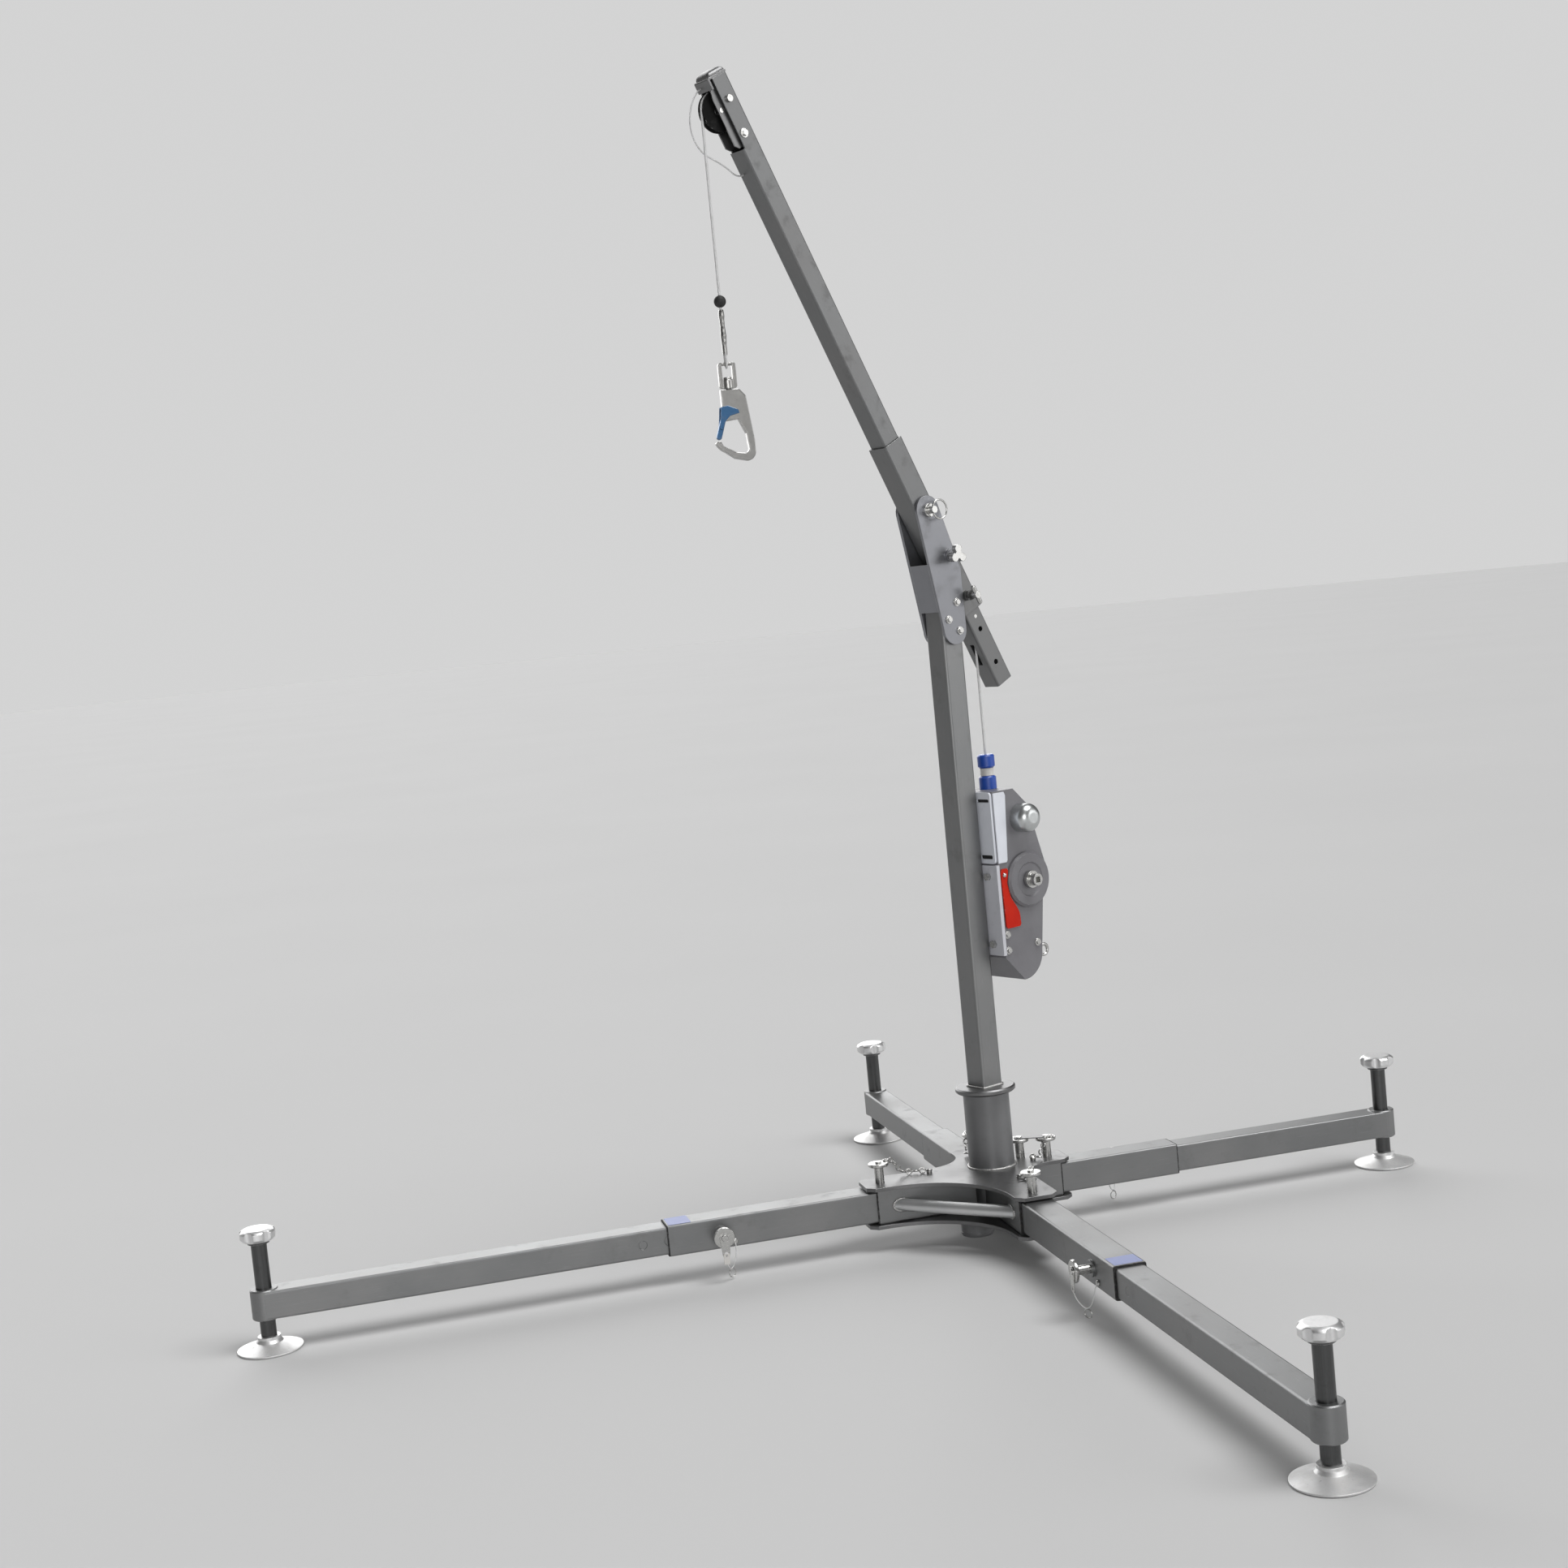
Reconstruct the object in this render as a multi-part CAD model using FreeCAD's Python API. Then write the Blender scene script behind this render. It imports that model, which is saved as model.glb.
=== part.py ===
import FreeCAD, Part
import os
from math import sin, cos, tan, radians, degrees, sqrt, pi

# Portable davit crane: four telescopic jack legs, a slewing mast, a luffing boom and a rope winch.
# Millimetres, +Z up, origin on the floor under the slewing axis.
# Legs lie along -X (left), -Y (front), +X (right) and +Y (back).
# Mast, winch and boom are modelled with the boom towards -X and then turned by SLEW_AT_REST.

V = FreeCAD.Vector
X_AXIS = V(1, 0, 0)
Y_AXIS = V(0, 1, 0)
Z_AXIS = V(0, 0, 1)
ORIGIN = V(0, 0, 0)

# Fits
SLIDE_GAP = 0.3          # between tubes that slide in each other
RUN_GAP = 0.05           # radial, shafts that turn in a bore
PIN_GAP = 0.1            # radial, pins in drilled holes
SEAT_GAP = 0.2           # axial, faces that turn on each other

# Pose in which the crane stands
SLEW_AT_REST = 24.0
BOOM_LEAN = 26.35        # boom from the vertical, degrees

# Legs
LEG_AXIS_Z = 87.0
LEG_OUTER = 60.0
LEG_OUTER_WALL = 3.5
LEG_INNER_WALL = 4.0
TUBE_CORNER = 4.0
LEG_START = 72.0         # inner end of the outer tube, from the slewing axis
HOLE_PITCH = 50.0        # extension holes along the inner tube
PIN_SETBACK = 100.0      # extension pin from the mouth of the outer tube

# Legs by name: direction, side of the extension pin, and distances from the slewing axis
LEFT_LEG = dict(reach=1410.0, outer_end=660.0, inner_start=413.0, travel_in=150.0, travel_out=100.0,
                plate_end=266.0)
FRONT_LEG = dict(LEFT_LEG, outer_end=703.0, inner_start=456.0)
REAR_LEG = dict(reach=842.0, outer_end=377.0, inner_start=182.0, travel_in=50.0, travel_out=50.0,
                plate_end=150.0)
LEGS = {"left": (180.0, 1, LEFT_LEG), "front": (270.0, -1, FRONT_LEG),
        "right": (0.0, 1, REAR_LEG), "back": (90.0, -1, REAR_LEG)}

# Jacks
FOOT_D = 120.0
FOOT_RIM = 4.0
FOOT_HUB_D = 42.0
FOOT_HEIGHT = 26.0
FOOT_FLOOR = 8.0         # metal left under the spindle stud
STUD_D = 20.0
SPINDLE_D = 29.0
COLLAR_D = 52.0
COLLAR_HEIGHT = 56.0
COLLAR_CHAMFER = 2.0
KNOB_D = 66.0
KNOB_HEIGHT = 22.0
KNOB_Z = 216.0           # middle of the star knob
KNOB_LOBES = 6
KNOB_HOLLOW_R = 11.0
KNOB_HOLLOW_DEPTH = 5.0

# Pull pins
PULL_PIN_D = 16.0
PULL_PIN_TRAVEL = 20.0
PULL_PIN_STAND = 26.0    # bare shank between boss and head at rest
PIN_HEAD_D = 40.0
PIN_HEAD_T = 6.0
PIN_NUB_D = 12.0
PIN_NUB_T = 3.0
PIN_BOSS_D = 30.0
PIN_BOSS_T = 4.0
TIP_HOLD = 1.0           # how far a drawn pin stays clear inside its wall
SOCKET_PIN_D = 18.0
SOCKET_PIN_STAND = 33.0

# Hub
PLATE_T = 7.0
ARM_HALF = 42.0
ARM_TIP_CUT = 14.0
ARC_SETBACK = 36.0       # from a plate's tip to the start of the hollow between two arms
SOCKET_WALL = 3.4
SOCKET_SETBACK = 20.0    # a socket's mouth, back from the plate's tip
SOCKET_PIN_SETBACK = 35.0
SOCKET_START = 48.0
SLOT_L = 26.0
SLOT_W = 9.0
SLOT_AT = 150.0
GRIP_D = 24.0
GRIP_AT = 200.0          # where the grip bar meets the two long sockets
LOCK_PIN_AT = (66.0, 20.0)

# Slewing bearing
SLEEVE_D = 90.0
SLEEVE_BORE = 70.0
SLEEVE_HEIGHT = 146.0    # above the top plate
BUSH_L = 40.0
SPIGOT_D = 60.0
SPIGOT_BORE = 44.0
WASHER_T = 3.0
FLANGE_D = 118.0
FLANGE_T = 11.0
CUP_D = 78.0
CUP_HEIGHT = 34.0
CUP_FLOOR = 6.0
CUP_CHAMFER = 6.0

# Mast and its head
MAST_W = 50.0
MAST_WALL = 4.0
MAST_CORNER = 6.0
MAST_TOP = 1219.0
CHEEK_T = 6.0
CHEEK_FOOT_Z = 1182.0
CHEEK_FOOT_R = 28.0
CHEEK_FOOT_X = 3.0       # middle of the round foot, behind the mast axis
CHEEK_EYE_R = 28.0
CHEEK_BACK = (30.0, 1298.0)
PIVOT_X = -40.0
PIVOT_Z = 1414.0
FRONT_PLATE_T = 5.0
FRONT_PLATE_TOP = 1311.0
PIVOT_PIN_D = 16.0
PIVOT_HEAD_D = 26.0
PIVOT_HEAD_T = 6.0
PIVOT_STUB_D = 14.0
PIVOT_STUB_L = 14.0
RING_R = 18.0
RING_WIRE_D = 3.6
RING_HOLE_D = 7.0

# Boom, along its own axis from the pivot
HOLDER_WALL = 3.7
HOLDER_UP = 148.0
HOLDER_DOWN = 222.0
BOOM_WALL = 3.0
BOOM_TAIL = 383.0
BOOM_HEAD = 884.0
BOOM_STEP = 75.0         # plunger holes along the boom
BOOM_STEPS = 2
LUFF_PIN_AT = 99.0
LUFF_PIN_D = 12.0
LUFF_PIN_TRAVEL = 4.2
LUFF_BOSS_D = 24.0
LOBES = 3
LOBE_D = 16.0
LOBE_AT = 11.0           # middle of a knob's lobe from the pin's axis
LOBE_T = 10.0
PLUNGER_AT = 188.0
PLUNGER_D = 10.0
PLUNGER_TRAVEL = 8.0
PLUNGER_BOSS_D = 20.0
HANDLE_D = 9.0
HANDLE_L = 32.0
HANDLE_STAND = 22.0      # pull handle from its boss

# Rope and sheaves
ROPE_D = 5.0
ROPE_X = 79.0            # upright run from winch to boom, behind the mast axis
ROPE_ENTRY_SLOT_W = 11.0
ROPE_ENTRY_SLOT_L = 46.0
INNER_ROPE_OFFSET = 14.5 # rope inside the boom, towards its upper wall
TAIL_SHEAVE_R = 11.5     # to the middle of the rope
HEAD_SHEAVE_R = 35.0
SHEAVE_RIM = 2.0         # rim above the middle of the rope
SHEAVE_W = 14.0
HEAD_SHEAVE_BACK = 56.0  # from the boom's head
HEAD_AXLE_D = 10.0
TAIL_AXLE_D = 8.0
CAP_SCREW_D = 8.0
CAP_SCREW_HEAD_D = 13.0
CAP_SCREW_HEAD_T = 5.0
CAP_SCREW_BACK = 44.0
HEAD_MOUTH = 133.0       # open length of the boom's underside at the head
HEAD_WALL_CUT = 6.0      # side walls cut back along the mouth
FORK_T = 2.5             # plates that carry the head sheave inside the side walls
FORK_INNER = 12.0        # half the room between them
FORK_FRONT = 29.0        # reach towards the underside, from the boom's axis
FORK_BACK = 8.0
CAP_T = 4.0
CAP_LIP = 17.0

# Winch
WINCH_PLATE_T = 8.0
WINCH_PLATE_HALF = 62.0
WINCH_PLATE_Z = (544.0, 721.0)
WINCH_HALF = 58.0        # half width of the housing
WINCH_TOP = 864.0
WINCH_TOP_DEPTH = 56.0
WINCH_FRONT_Z = 538.0
WINCH_BELLY_R = 52.0
WINCH_BELLY = (79.0, 540.0)
DRUM_Z = 683.0
DRUM_CASE_R = 57.0
DRUM_ROPE_R = 28.0
DRUM_FLANGE_R = 46.0
DRUM_FLANGE_T = 5.0
DRUM_CAVITY_GAP = 2.0
CASE_WALL = 6.0
COVER_T = 9.0
COVER_LIP_R = 50.0
SHAFT_D = 18.0
CRANK_HUB_D = 34.0
CRANK_HUB_L = 22.0
CRANK_SQUARE = 11.0
SELECTOR_D = 56.0
SELECTOR_L = 38.0
SELECTOR_STEM_D = 20.0
SELECTOR_Z = 805.0
SELECTOR_TRAVEL = 10.0
GUIDE_COLLAR_D = 34.0
GUIDE_COLLAR_L = 26.0
GUIDE_NECK_D = 24.0
GUIDE_NECK_L = 16.0
BOLT_D = 8.0
BOLT_HEAD_D = 15.0
BOLT_HEAD_T = 6.0
BOLT_Y = 37.0
BOLT_INSET = 22.0

# Rope end and hook, heights above the floor
BALL_Z = 1812.0
BALL_D = 22.0
FERRULE_Z = (1717.0, 1797.0)
FERRULE_WIDE = 17.0
FERRULE_THIN = 10.0
LOOP_R = 5.5
LOOP_WIRE_D = 4.4
EYE_TOP_Z = 1704.0
EYE_HEIGHT = 47.0
EYE_W = 32.0
EYE_T = 9.0
EYE_BAR = 6.0
EYE_WINDOW_W = 19.0
EYE_FOOT = 16.0
STEM_D = 10.0
STEM_HEAD_D = 15.0
STEM_HEAD_T = 4.0
HOOK_TOP_Z = 1656.0
HOOK_T = 13.0
HOOK_BAR = 11.0
HOOK_FRONT = 15.6        # top block's edge in front of the stem
HOOK_SHOULDER = 18.0     # flat top behind the stem
HOOK_BACK = (29.0, 38.0) # outer edge of the back limb behind the stem, at its top and at the bowl
HOOK_BACK_DROP = (13.0, 91.0)
HOOK_DROP = 129.0        # lowest point of the bowl below the hook's top
HOOK_NOSE = 33.0         # nose in front of the stem
HOOK_NOSE_DROP = 91.0
HOOK_WINDOW_DROP = 54.0  # underside of the top block
GATE_T = 7.0
GATE_W = 9.0
GATE_PIN_D = 4.0
GATE_PIVOT = (-11.0, 41.0)
GATE_TIP = (-25.5, 84.0)

# Tether wire at the boom head
WIRE_D = 3.0
WIRE_BULGE = 4.4         # how far it stands off the boom's axis, in half widths of the boom
WIRE_LOW = 1.32          # where it comes back, in lengths of the head's mouth

# Worked out from the sizes above
LEG_INNER = LEG_OUTER - 2 * LEG_OUTER_WALL - 2 * SLIDE_GAP
SOCKET_OUTER = LEG_OUTER + 2 * SLIDE_GAP + 2 * SOCKET_WALL
PLATE_UNDER = LEG_AXIS_Z + SOCKET_OUTER / 2
PLATE_TOP = PLATE_UNDER + PLATE_T
LOWER_TOP = LEG_AXIS_Z - SOCKET_OUTER / 2
LOWER_UNDER = LOWER_TOP - PLATE_T
SLEEVE_TOP = PLATE_TOP + SLEEVE_HEIGHT
FLANGE_Z = SLEEVE_TOP + WASHER_T
MAST_FOOT = FLANGE_Z + FLANGE_T
HALF_MAST = MAST_W / 2
HOLDER_W = MAST_W - 2 * SLIDE_GAP
BOOM_W = HOLDER_W - 2 * HOLDER_WALL - 2 * SLIDE_GAP
BOOM_INNER = BOOM_W - 2 * BOOM_WALL
LEAN = radians(BOOM_LEAN)
HEAD_SHEAVE_AT = BOOM_HEAD - HEAD_SHEAVE_BACK
CAP_SCREW_AT = BOOM_HEAD - CAP_SCREW_BACK
HEAD_SHEAVE_OFFSET = HEAD_SHEAVE_R - INNER_ROPE_OFFSET
DRUM_X = ROPE_X + DRUM_ROPE_R
WINCH_FRONT = HALF_MAST + WINCH_PLATE_T
WINCH_NEAR = -WINCH_HALF - COVER_T
ROPE_R = ROPE_D / 2


# Basic shapes
def cylinder(diameter, length, base, axis=Z_AXIS):
    return Part.makeCylinder(diameter / 2, length, base, axis)


def block(x, y, z):
    """Box between the pairs of limits x, y and z."""
    corner = V(x[0], y[0], z[0])
    return Part.makeBox(x[1] - x[0], y[1] - y[0], z[1] - z[0], corner)


def rounded_face(width, depth, radius):
    """Rectangle with round corners on the XY plane, about the origin."""
    a, b, k = width / 2, depth / 2, radius * (1 - 1 / sqrt(2))
    edges = []
    for sx, sy in ((1, 1), (-1, 1), (-1, -1), (1, -1)):
        first, last = V(sx * a, sy * (b - radius), 0), V(sx * (a - radius), sy * b, 0)
        if sx * sy < 0:
            first, last = last, first
        edges.append((first, V(sx * (a - k), sy * (b - k), 0), last))
    lines = []
    for n, (first, middle, last) in enumerate(edges):
        lines.append(Part.Arc(first, middle, last).toShape())
        lines.append(Part.LineSegment(last, edges[(n + 1) % 4][0]).toShape())
    return Part.Face(Part.Wire(lines))


def square_tube(width, wall, corner, z_from, z_to):
    """Square tube along Z."""
    outside = rounded_face(width, width, corner)
    inside = rounded_face(width - 2 * wall, width - 2 * wall, max(corner - wall, 0.5))
    tube = outside.cut(inside).extrude(V(0, 0, z_to - z_from))
    tube.translate(V(0, 0, z_from))
    return tube


def turned(profile):
    """Solid turned about Z from (radius, height) corners."""
    points = [V(r, 0, z) for r, z in profile]
    wire = Part.makePolygon(points + points[:1])
    return Part.Face(wire).revolve(ORIGIN, Z_AXIS, 360)


def plate(outline, y_from, y_to):
    """Plate cut to a closed wire on the XZ plane, between two sides."""
    solid = Part.Face(outline).extrude(V(0, y_to - y_from, 0))
    solid.translate(V(0, y_from, 0))
    return solid


def xz(x, z):
    return V(x, 0, z)


def lines_and_arcs(*steps):
    """Closed wire on the XZ plane: each step is a corner, or a (middle, end) pair of an arc."""
    edges, start = [], steps[0]
    last = start
    for step in steps[1:] + (start,):
        if isinstance(step, tuple):
            edges.append(Part.Arc(last, step[0], step[1]).toShape())
            last = step[1]
        elif (step - last).Length > 1e-6:
            edges.append(Part.LineSegment(last, step).toShape())
            last = step
    return Part.Wire(edges)


def round_tube(diameter, edges):
    """Rope or wire along a chain of straight and round edges."""
    path = Part.Wire(edges)
    start, ahead = path.Edges[0].valueAt(path.Edges[0].FirstParameter), path.Edges[0].tangentAt(
        path.Edges[0].FirstParameter)
    ring = Part.Wire(Part.Circle(start, ahead, diameter / 2).toShape())
    return path.makePipeShell([ring], True, False)


def fuse(first, *others):
    return first.multiFuse(list(others)).removeSplitter()


def cut(first, *others):
    return first.cut(list(others)) if others else first


# Frames of the moving groups
def on_mast(shape):
    shape.rotate(ORIGIN, Z_AXIS, SLEW_AT_REST)
    return shape


def on_boom(shape):
    """From the boom's own frame (Z along the boom, -X its underside, origin at the pivot)."""
    shape.rotate(ORIGIN, Y_AXIS, -BOOM_LEAN)
    shape.translate(V(PIVOT_X, 0, PIVOT_Z))
    return on_mast(shape)


def boom_to_mast(x, z):
    """A point of the boom's own frame in the mast's frame, as x and z."""
    return PIVOT_X + x * cos(LEAN) - z * sin(LEAN), PIVOT_Z + x * sin(LEAN) + z * cos(LEAN)


def on_leg(shape, azimuth):
    shape.rotate(ORIGIN, Z_AXIS, azimuth)
    return shape


def along_x(shape, height):
    """Lays a shape made along Z out along +X at a height."""
    shape.rotate(ORIGIN, Y_AXIS, 90)
    shape.translate(V(0, 0, height))
    return shape


# Hub
def hub_plate(z_from):
    arms = []
    for azimuth, side, leg in LEGS.values():
        tip, half, c = leg["plate_end"], ARM_HALF, ARM_TIP_CUT
        corners = [V(0, -half, 0), V(tip - c, -half, 0), V(tip, c - half, 0), V(tip, half - c, 0),
                   V(tip - c, half, 0), V(0, half, 0)]
        arm = Part.Face(Part.makePolygon(corners + corners[:1])).extrude(V(0, 0, PLATE_T))
        arms.append(on_leg(arm, azimuth))
    legs = list(LEGS.values())
    for (azimuth, side, leg), (_, _, after) in zip(legs, legs[1:] + legs[:1]):
        reach = min(leg["plate_end"], after["plate_end"]) - ARC_SETBACK
        web = block((0, reach), (0, reach), (0, PLATE_T))
        hollow = cylinder(2 * (reach - ARM_HALF), PLATE_T, V(reach, reach, 0))
        arms.append(on_leg(web.cut(hollow), azimuth))
    solid = fuse(*arms)
    solid.translate(V(0, 0, z_from))
    return solid


def pin_spots():
    spots = []
    for azimuth, side, leg in LEGS.values():
        spot = V(leg["plate_end"] - SOCKET_PIN_SETBACK, 0, 0)
        spots.append(FreeCAD.Rotation(Z_AXIS, azimuth).multVec(spot))
    return spots


def socket_pin_holes(z_from, z_to):
    return [cylinder(SOCKET_PIN_D + 2 * PIN_GAP, z_to - z_from, V(p.x, p.y, z_from)) for p in pin_spots()]


def base_top_plate():
    solid = hub_plate(PLATE_UNDER)
    slot = rounded_face(SLOT_L, SLOT_W, SLOT_W / 2 - 0.01).extrude(V(0, 0, PLATE_T))
    slot.translate(V(ARM_HALF / 3, -SLOT_AT, PLATE_UNDER))
    lock = cylinder(SOCKET_PIN_D + 2 * PIN_GAP, PLATE_T, V(*LOCK_PIN_AT, PLATE_UNDER))
    sleeve = cylinder(SLEEVE_D, PLATE_T, V(0, 0, PLATE_UNDER))
    return cut(solid, sleeve, slot, lock, *socket_pin_holes(PLATE_UNDER, PLATE_TOP))


def base_bottom_plate():
    spigot = cylinder(SLEEVE_BORE, PLATE_T, V(0, 0, LOWER_UNDER))
    return cut(hub_plate(LOWER_UNDER), spigot, *socket_pin_holes(LOWER_UNDER, LOWER_TOP))


def leg_sockets():
    tubes = []
    for azimuth, side, leg in LEGS.values():
        mouth, pin_x = leg["plate_end"] - SOCKET_SETBACK, leg["plate_end"] - SOCKET_PIN_SETBACK
        tube = square_tube(SOCKET_OUTER, SOCKET_WALL, TUBE_CORNER, SOCKET_START, mouth)
        hole = cylinder(SOCKET_PIN_D + 2 * PIN_GAP, SOCKET_OUTER, V(pin_x, 0, LOWER_TOP))
        tubes.append(on_leg(along_x(tube, LEG_AXIS_Z).cut(hole), azimuth))
    return Part.makeCompound(tubes)


def pull_head(z):
    """Disc head of a pull pin, with its ring nub, from a height upwards."""
    c = 1.0
    r = PIN_HEAD_D / 2
    return turned([(0, z), (r - c, z), (r, z + c), (r, z + PIN_HEAD_T - c), (r - c, z + PIN_HEAD_T),
                   (PIN_NUB_D / 2, z + PIN_HEAD_T), (PIN_NUB_D / 2, z + PIN_HEAD_T + PIN_NUB_T),
                   (0, z + PIN_HEAD_T + PIN_NUB_T)])


def socket_pins():
    head_z = PLATE_TOP + SOCKET_PIN_STAND
    pins = []
    for p in pin_spots() + [V(*LOCK_PIN_AT, 0)]:
        foot = LOWER_UNDER - PIN_NUB_T if p.Length > SLEEVE_D else PLATE_UNDER
        pin = fuse(cylinder(SOCKET_PIN_D, head_z - foot, V(0, 0, foot)), pull_head(head_z))
        pin.translate(p)
        pins.append(pin)
    return Part.makeCompound(pins)


def grip_bar():
    face = SOCKET_OUTER / 2
    z = LEG_AXIS_Z
    ends = V(-GRIP_AT - GRIP_D, -face + GRIP_D, z), V(-face + GRIP_D, -GRIP_AT - GRIP_D, z)
    bar = cylinder(GRIP_D, (ends[1] - ends[0]).Length, ends[0], ends[1] - ends[0])
    far = 2 * GRIP_AT
    return bar.common(block((-far, -face), (-far, -face), (0, 2 * z)))


def mast_sleeve():
    sleeve = cylinder(SLEEVE_D, SLEEVE_TOP - LOWER_TOP, V(0, 0, LOWER_TOP))
    return sleeve.cut(cylinder(SLEEVE_BORE, SLEEVE_TOP - LOWER_TOP, V(0, 0, LOWER_TOP)))


def slew_bearings():
    """Two bushes in the sleeve and the thrust washer under the mast flange."""
    bore = SPIGOT_D + 2 * RUN_GAP
    rings = []
    for z, length, outer in ((LOWER_TOP, BUSH_L, SLEEVE_BORE), (SLEEVE_TOP - BUSH_L, BUSH_L, SLEEVE_BORE),
                             (SLEEVE_TOP, WASHER_T, SLEEVE_D)):
        ring = cylinder(outer, length, V(0, 0, z))
        rings.append(ring.cut(cylinder(bore, length, V(0, 0, z))))
    return Part.makeCompound(rings)


def bearing_cup():
    r, bore = CUP_D / 2, SLEEVE_BORE / 2
    foot = LOWER_UNDER - CUP_HEIGHT
    return turned([(0, foot), (r - CUP_CHAMFER, foot), (r, foot + CUP_CHAMFER), (r, LOWER_UNDER),
                   (bore, LOWER_UNDER), (bore, foot + CUP_FLOOR), (0, foot + CUP_FLOOR)])


# Legs and jacks, along +X
def leg_outer(side, leg):
    tube = square_tube(LEG_OUTER, LEG_OUTER_WALL, TUBE_CORNER, LEG_START, leg["outer_end"])
    tube = along_x(tube, LEG_AXIS_Z)
    pin_x = leg["outer_end"] - PIN_SETBACK
    face = V(pin_x, side * LEG_OUTER / 2, LEG_AXIS_Z)
    out = V(0, side, 0)
    boss = cylinder(PIN_BOSS_D, PIN_BOSS_T, face, out)
    depth = 2 * LEG_OUTER_WALL
    bore = cylinder(PULL_PIN_D + 2 * RUN_GAP, PIN_BOSS_T + depth, face - out * depth, out)
    socket_x = leg["plate_end"] - SOCKET_PIN_SETBACK
    pinned = cylinder(SOCKET_PIN_D + 2 * PIN_GAP, SOCKET_OUTER, V(socket_x, 0, LOWER_TOP))
    return cut(fuse(tube, boss), bore, pinned)


def leg_inner(side, leg):
    tube = square_tube(LEG_INNER, LEG_INNER_WALL, TUBE_CORNER, leg["inner_start"], leg["reach"])
    tube = along_x(tube, LEG_AXIS_Z)
    r, c = COLLAR_D / 2, COLLAR_CHAMFER
    low, high = LEG_AXIS_Z - COLLAR_HEIGHT / 2, LEG_AXIS_Z + COLLAR_HEIGHT / 2
    collar = turned([(0, low), (r - c, low), (r, low + c), (r, high - c), (r - c, high), (0, high)])
    bore = cylinder(SPINDLE_D + 2 * RUN_GAP, COLLAR_HEIGHT, V(0, 0, low))
    for solid in (collar, bore):
        solid.translate(V(leg["reach"], 0, 0))
    pin_x = leg["outer_end"] - PIN_SETBACK
    holes = []
    slide = -leg["travel_in"]
    while slide <= leg["travel_out"]:
        start = V(pin_x - slide, 0, LEG_AXIS_Z)
        holes.append(cylinder(PULL_PIN_D + 4 * PIN_GAP, LEG_INNER, start, V(0, side, 0)))
        slide += HOLE_PITCH
    return cut(fuse(tube, collar), bore, *holes)


def foot_disc(leg):
    rim, hub, stud = FOOT_D / 2, FOOT_HUB_D / 2, STUD_D / 2 + RUN_GAP
    solid = turned([(0, 0), (rim - FOOT_RIM / 2, 0), (rim, FOOT_RIM / 2), (rim, FOOT_RIM),
                    (hub + FOOT_RIM, 0.6 * FOOT_HEIGHT), (hub, 0.8 * FOOT_HEIGHT), (hub, FOOT_HEIGHT),
                    (stud, FOOT_HEIGHT), (stud, FOOT_FLOOR), (0, FOOT_FLOOR)])
    solid.translate(V(leg["reach"], 0, 0))
    return solid


def jack_spindle(leg):
    """Screw spindle with its stud below and the star knob pinned on top."""
    shoulder = FOOT_HEIGHT + SEAT_GAP
    low, high = KNOB_Z - KNOB_HEIGHT / 2, KNOB_Z + KNOB_HEIGHT / 2
    stud, spindle, knob = STUD_D / 2, SPINDLE_D / 2, KNOB_D / 2
    step = KNOB_HEIGHT / 4
    solid = turned([(0, FOOT_FLOOR + SEAT_GAP), (stud, FOOT_FLOOR + SEAT_GAP), (stud, shoulder),
                    (spindle, shoulder), (spindle, low - step), (spindle + step, low - step),
                    (spindle + step, low), (knob - step, low), (knob, low + step), (knob, high - step),
                    (knob - step / 2, high - step / 2), (knob - 1.5 * step, high), (0, high)])
    hollows = []
    for n in range(KNOB_LOBES):
        turn = FreeCAD.Rotation(Z_AXIS, 360.0 * n / KNOB_LOBES)
        at = turn.multVec(V(knob + KNOB_HOLLOW_R - KNOB_HOLLOW_DEPTH, 0, low))
        hollows.append(cylinder(2 * KNOB_HOLLOW_R, KNOB_HEIGHT, at))
    solid = cut(solid, *hollows)
    solid.translate(V(leg["reach"], 0, 0))
    return solid


def extension_pin(side, leg):
    tip = LEG_OUTER / 2 - LEG_OUTER_WALL + TIP_HOLD
    head = LEG_OUTER / 2 + PIN_BOSS_T + PULL_PIN_STAND
    pin = fuse(cylinder(PULL_PIN_D, head - tip, V(0, 0, tip)), pull_head(head))
    pin.rotate(ORIGIN, X_AXIS, -90 * side)
    pin.translate(V(leg["outer_end"] - PIN_SETBACK, 0, LEG_AXIS_Z))
    return pin


# Mast, boom towards -X
def mast_spigot():
    r, f, c = SPIGOT_D / 2, FLANGE_D / 2, FLANGE_T / 4
    foot = LOWER_UNDER - CUP_HEIGHT + CUP_FLOOR + SEAT_GAP
    return turned([(SPIGOT_BORE / 2, foot), (r, foot), (r, FLANGE_Z), (f - c, FLANGE_Z), (f, FLANGE_Z + c),
                   (f, MAST_FOOT - c), (f - c, MAST_FOOT), (SPIGOT_BORE / 2, MAST_FOOT)])


def mast_tube():
    return square_tube(MAST_W, MAST_WALL, MAST_CORNER, MAST_FOOT, MAST_TOP)


def cheek_outline():
    """Round foot beside the mast, leaning edges, and the round eye about the pivot."""
    foot = xz(CHEEK_FOOT_X, CHEEK_FOOT_Z)
    eye = xz(PIVOT_X, PIVOT_Z)
    back = xz(*CHEEK_BACK)
    up = (eye - foot).normalize()
    front_side = V(-up.z, 0, up.x)
    rise = (eye - back).normalize()
    back_side = V(rise.z, 0, -rise.x)
    return lines_and_arcs(
        xz(CHEEK_FOOT_X + CHEEK_FOOT_R, CHEEK_FOOT_Z),
        (xz(CHEEK_FOOT_X, CHEEK_FOOT_Z - CHEEK_FOOT_R), xz(CHEEK_FOOT_X - CHEEK_FOOT_R, CHEEK_FOOT_Z)),
        eye + front_side * CHEEK_EYE_R,
        (eye + (up + rise).normalize() * CHEEK_EYE_R, eye + back_side * CHEEK_EYE_R),
        back)


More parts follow.
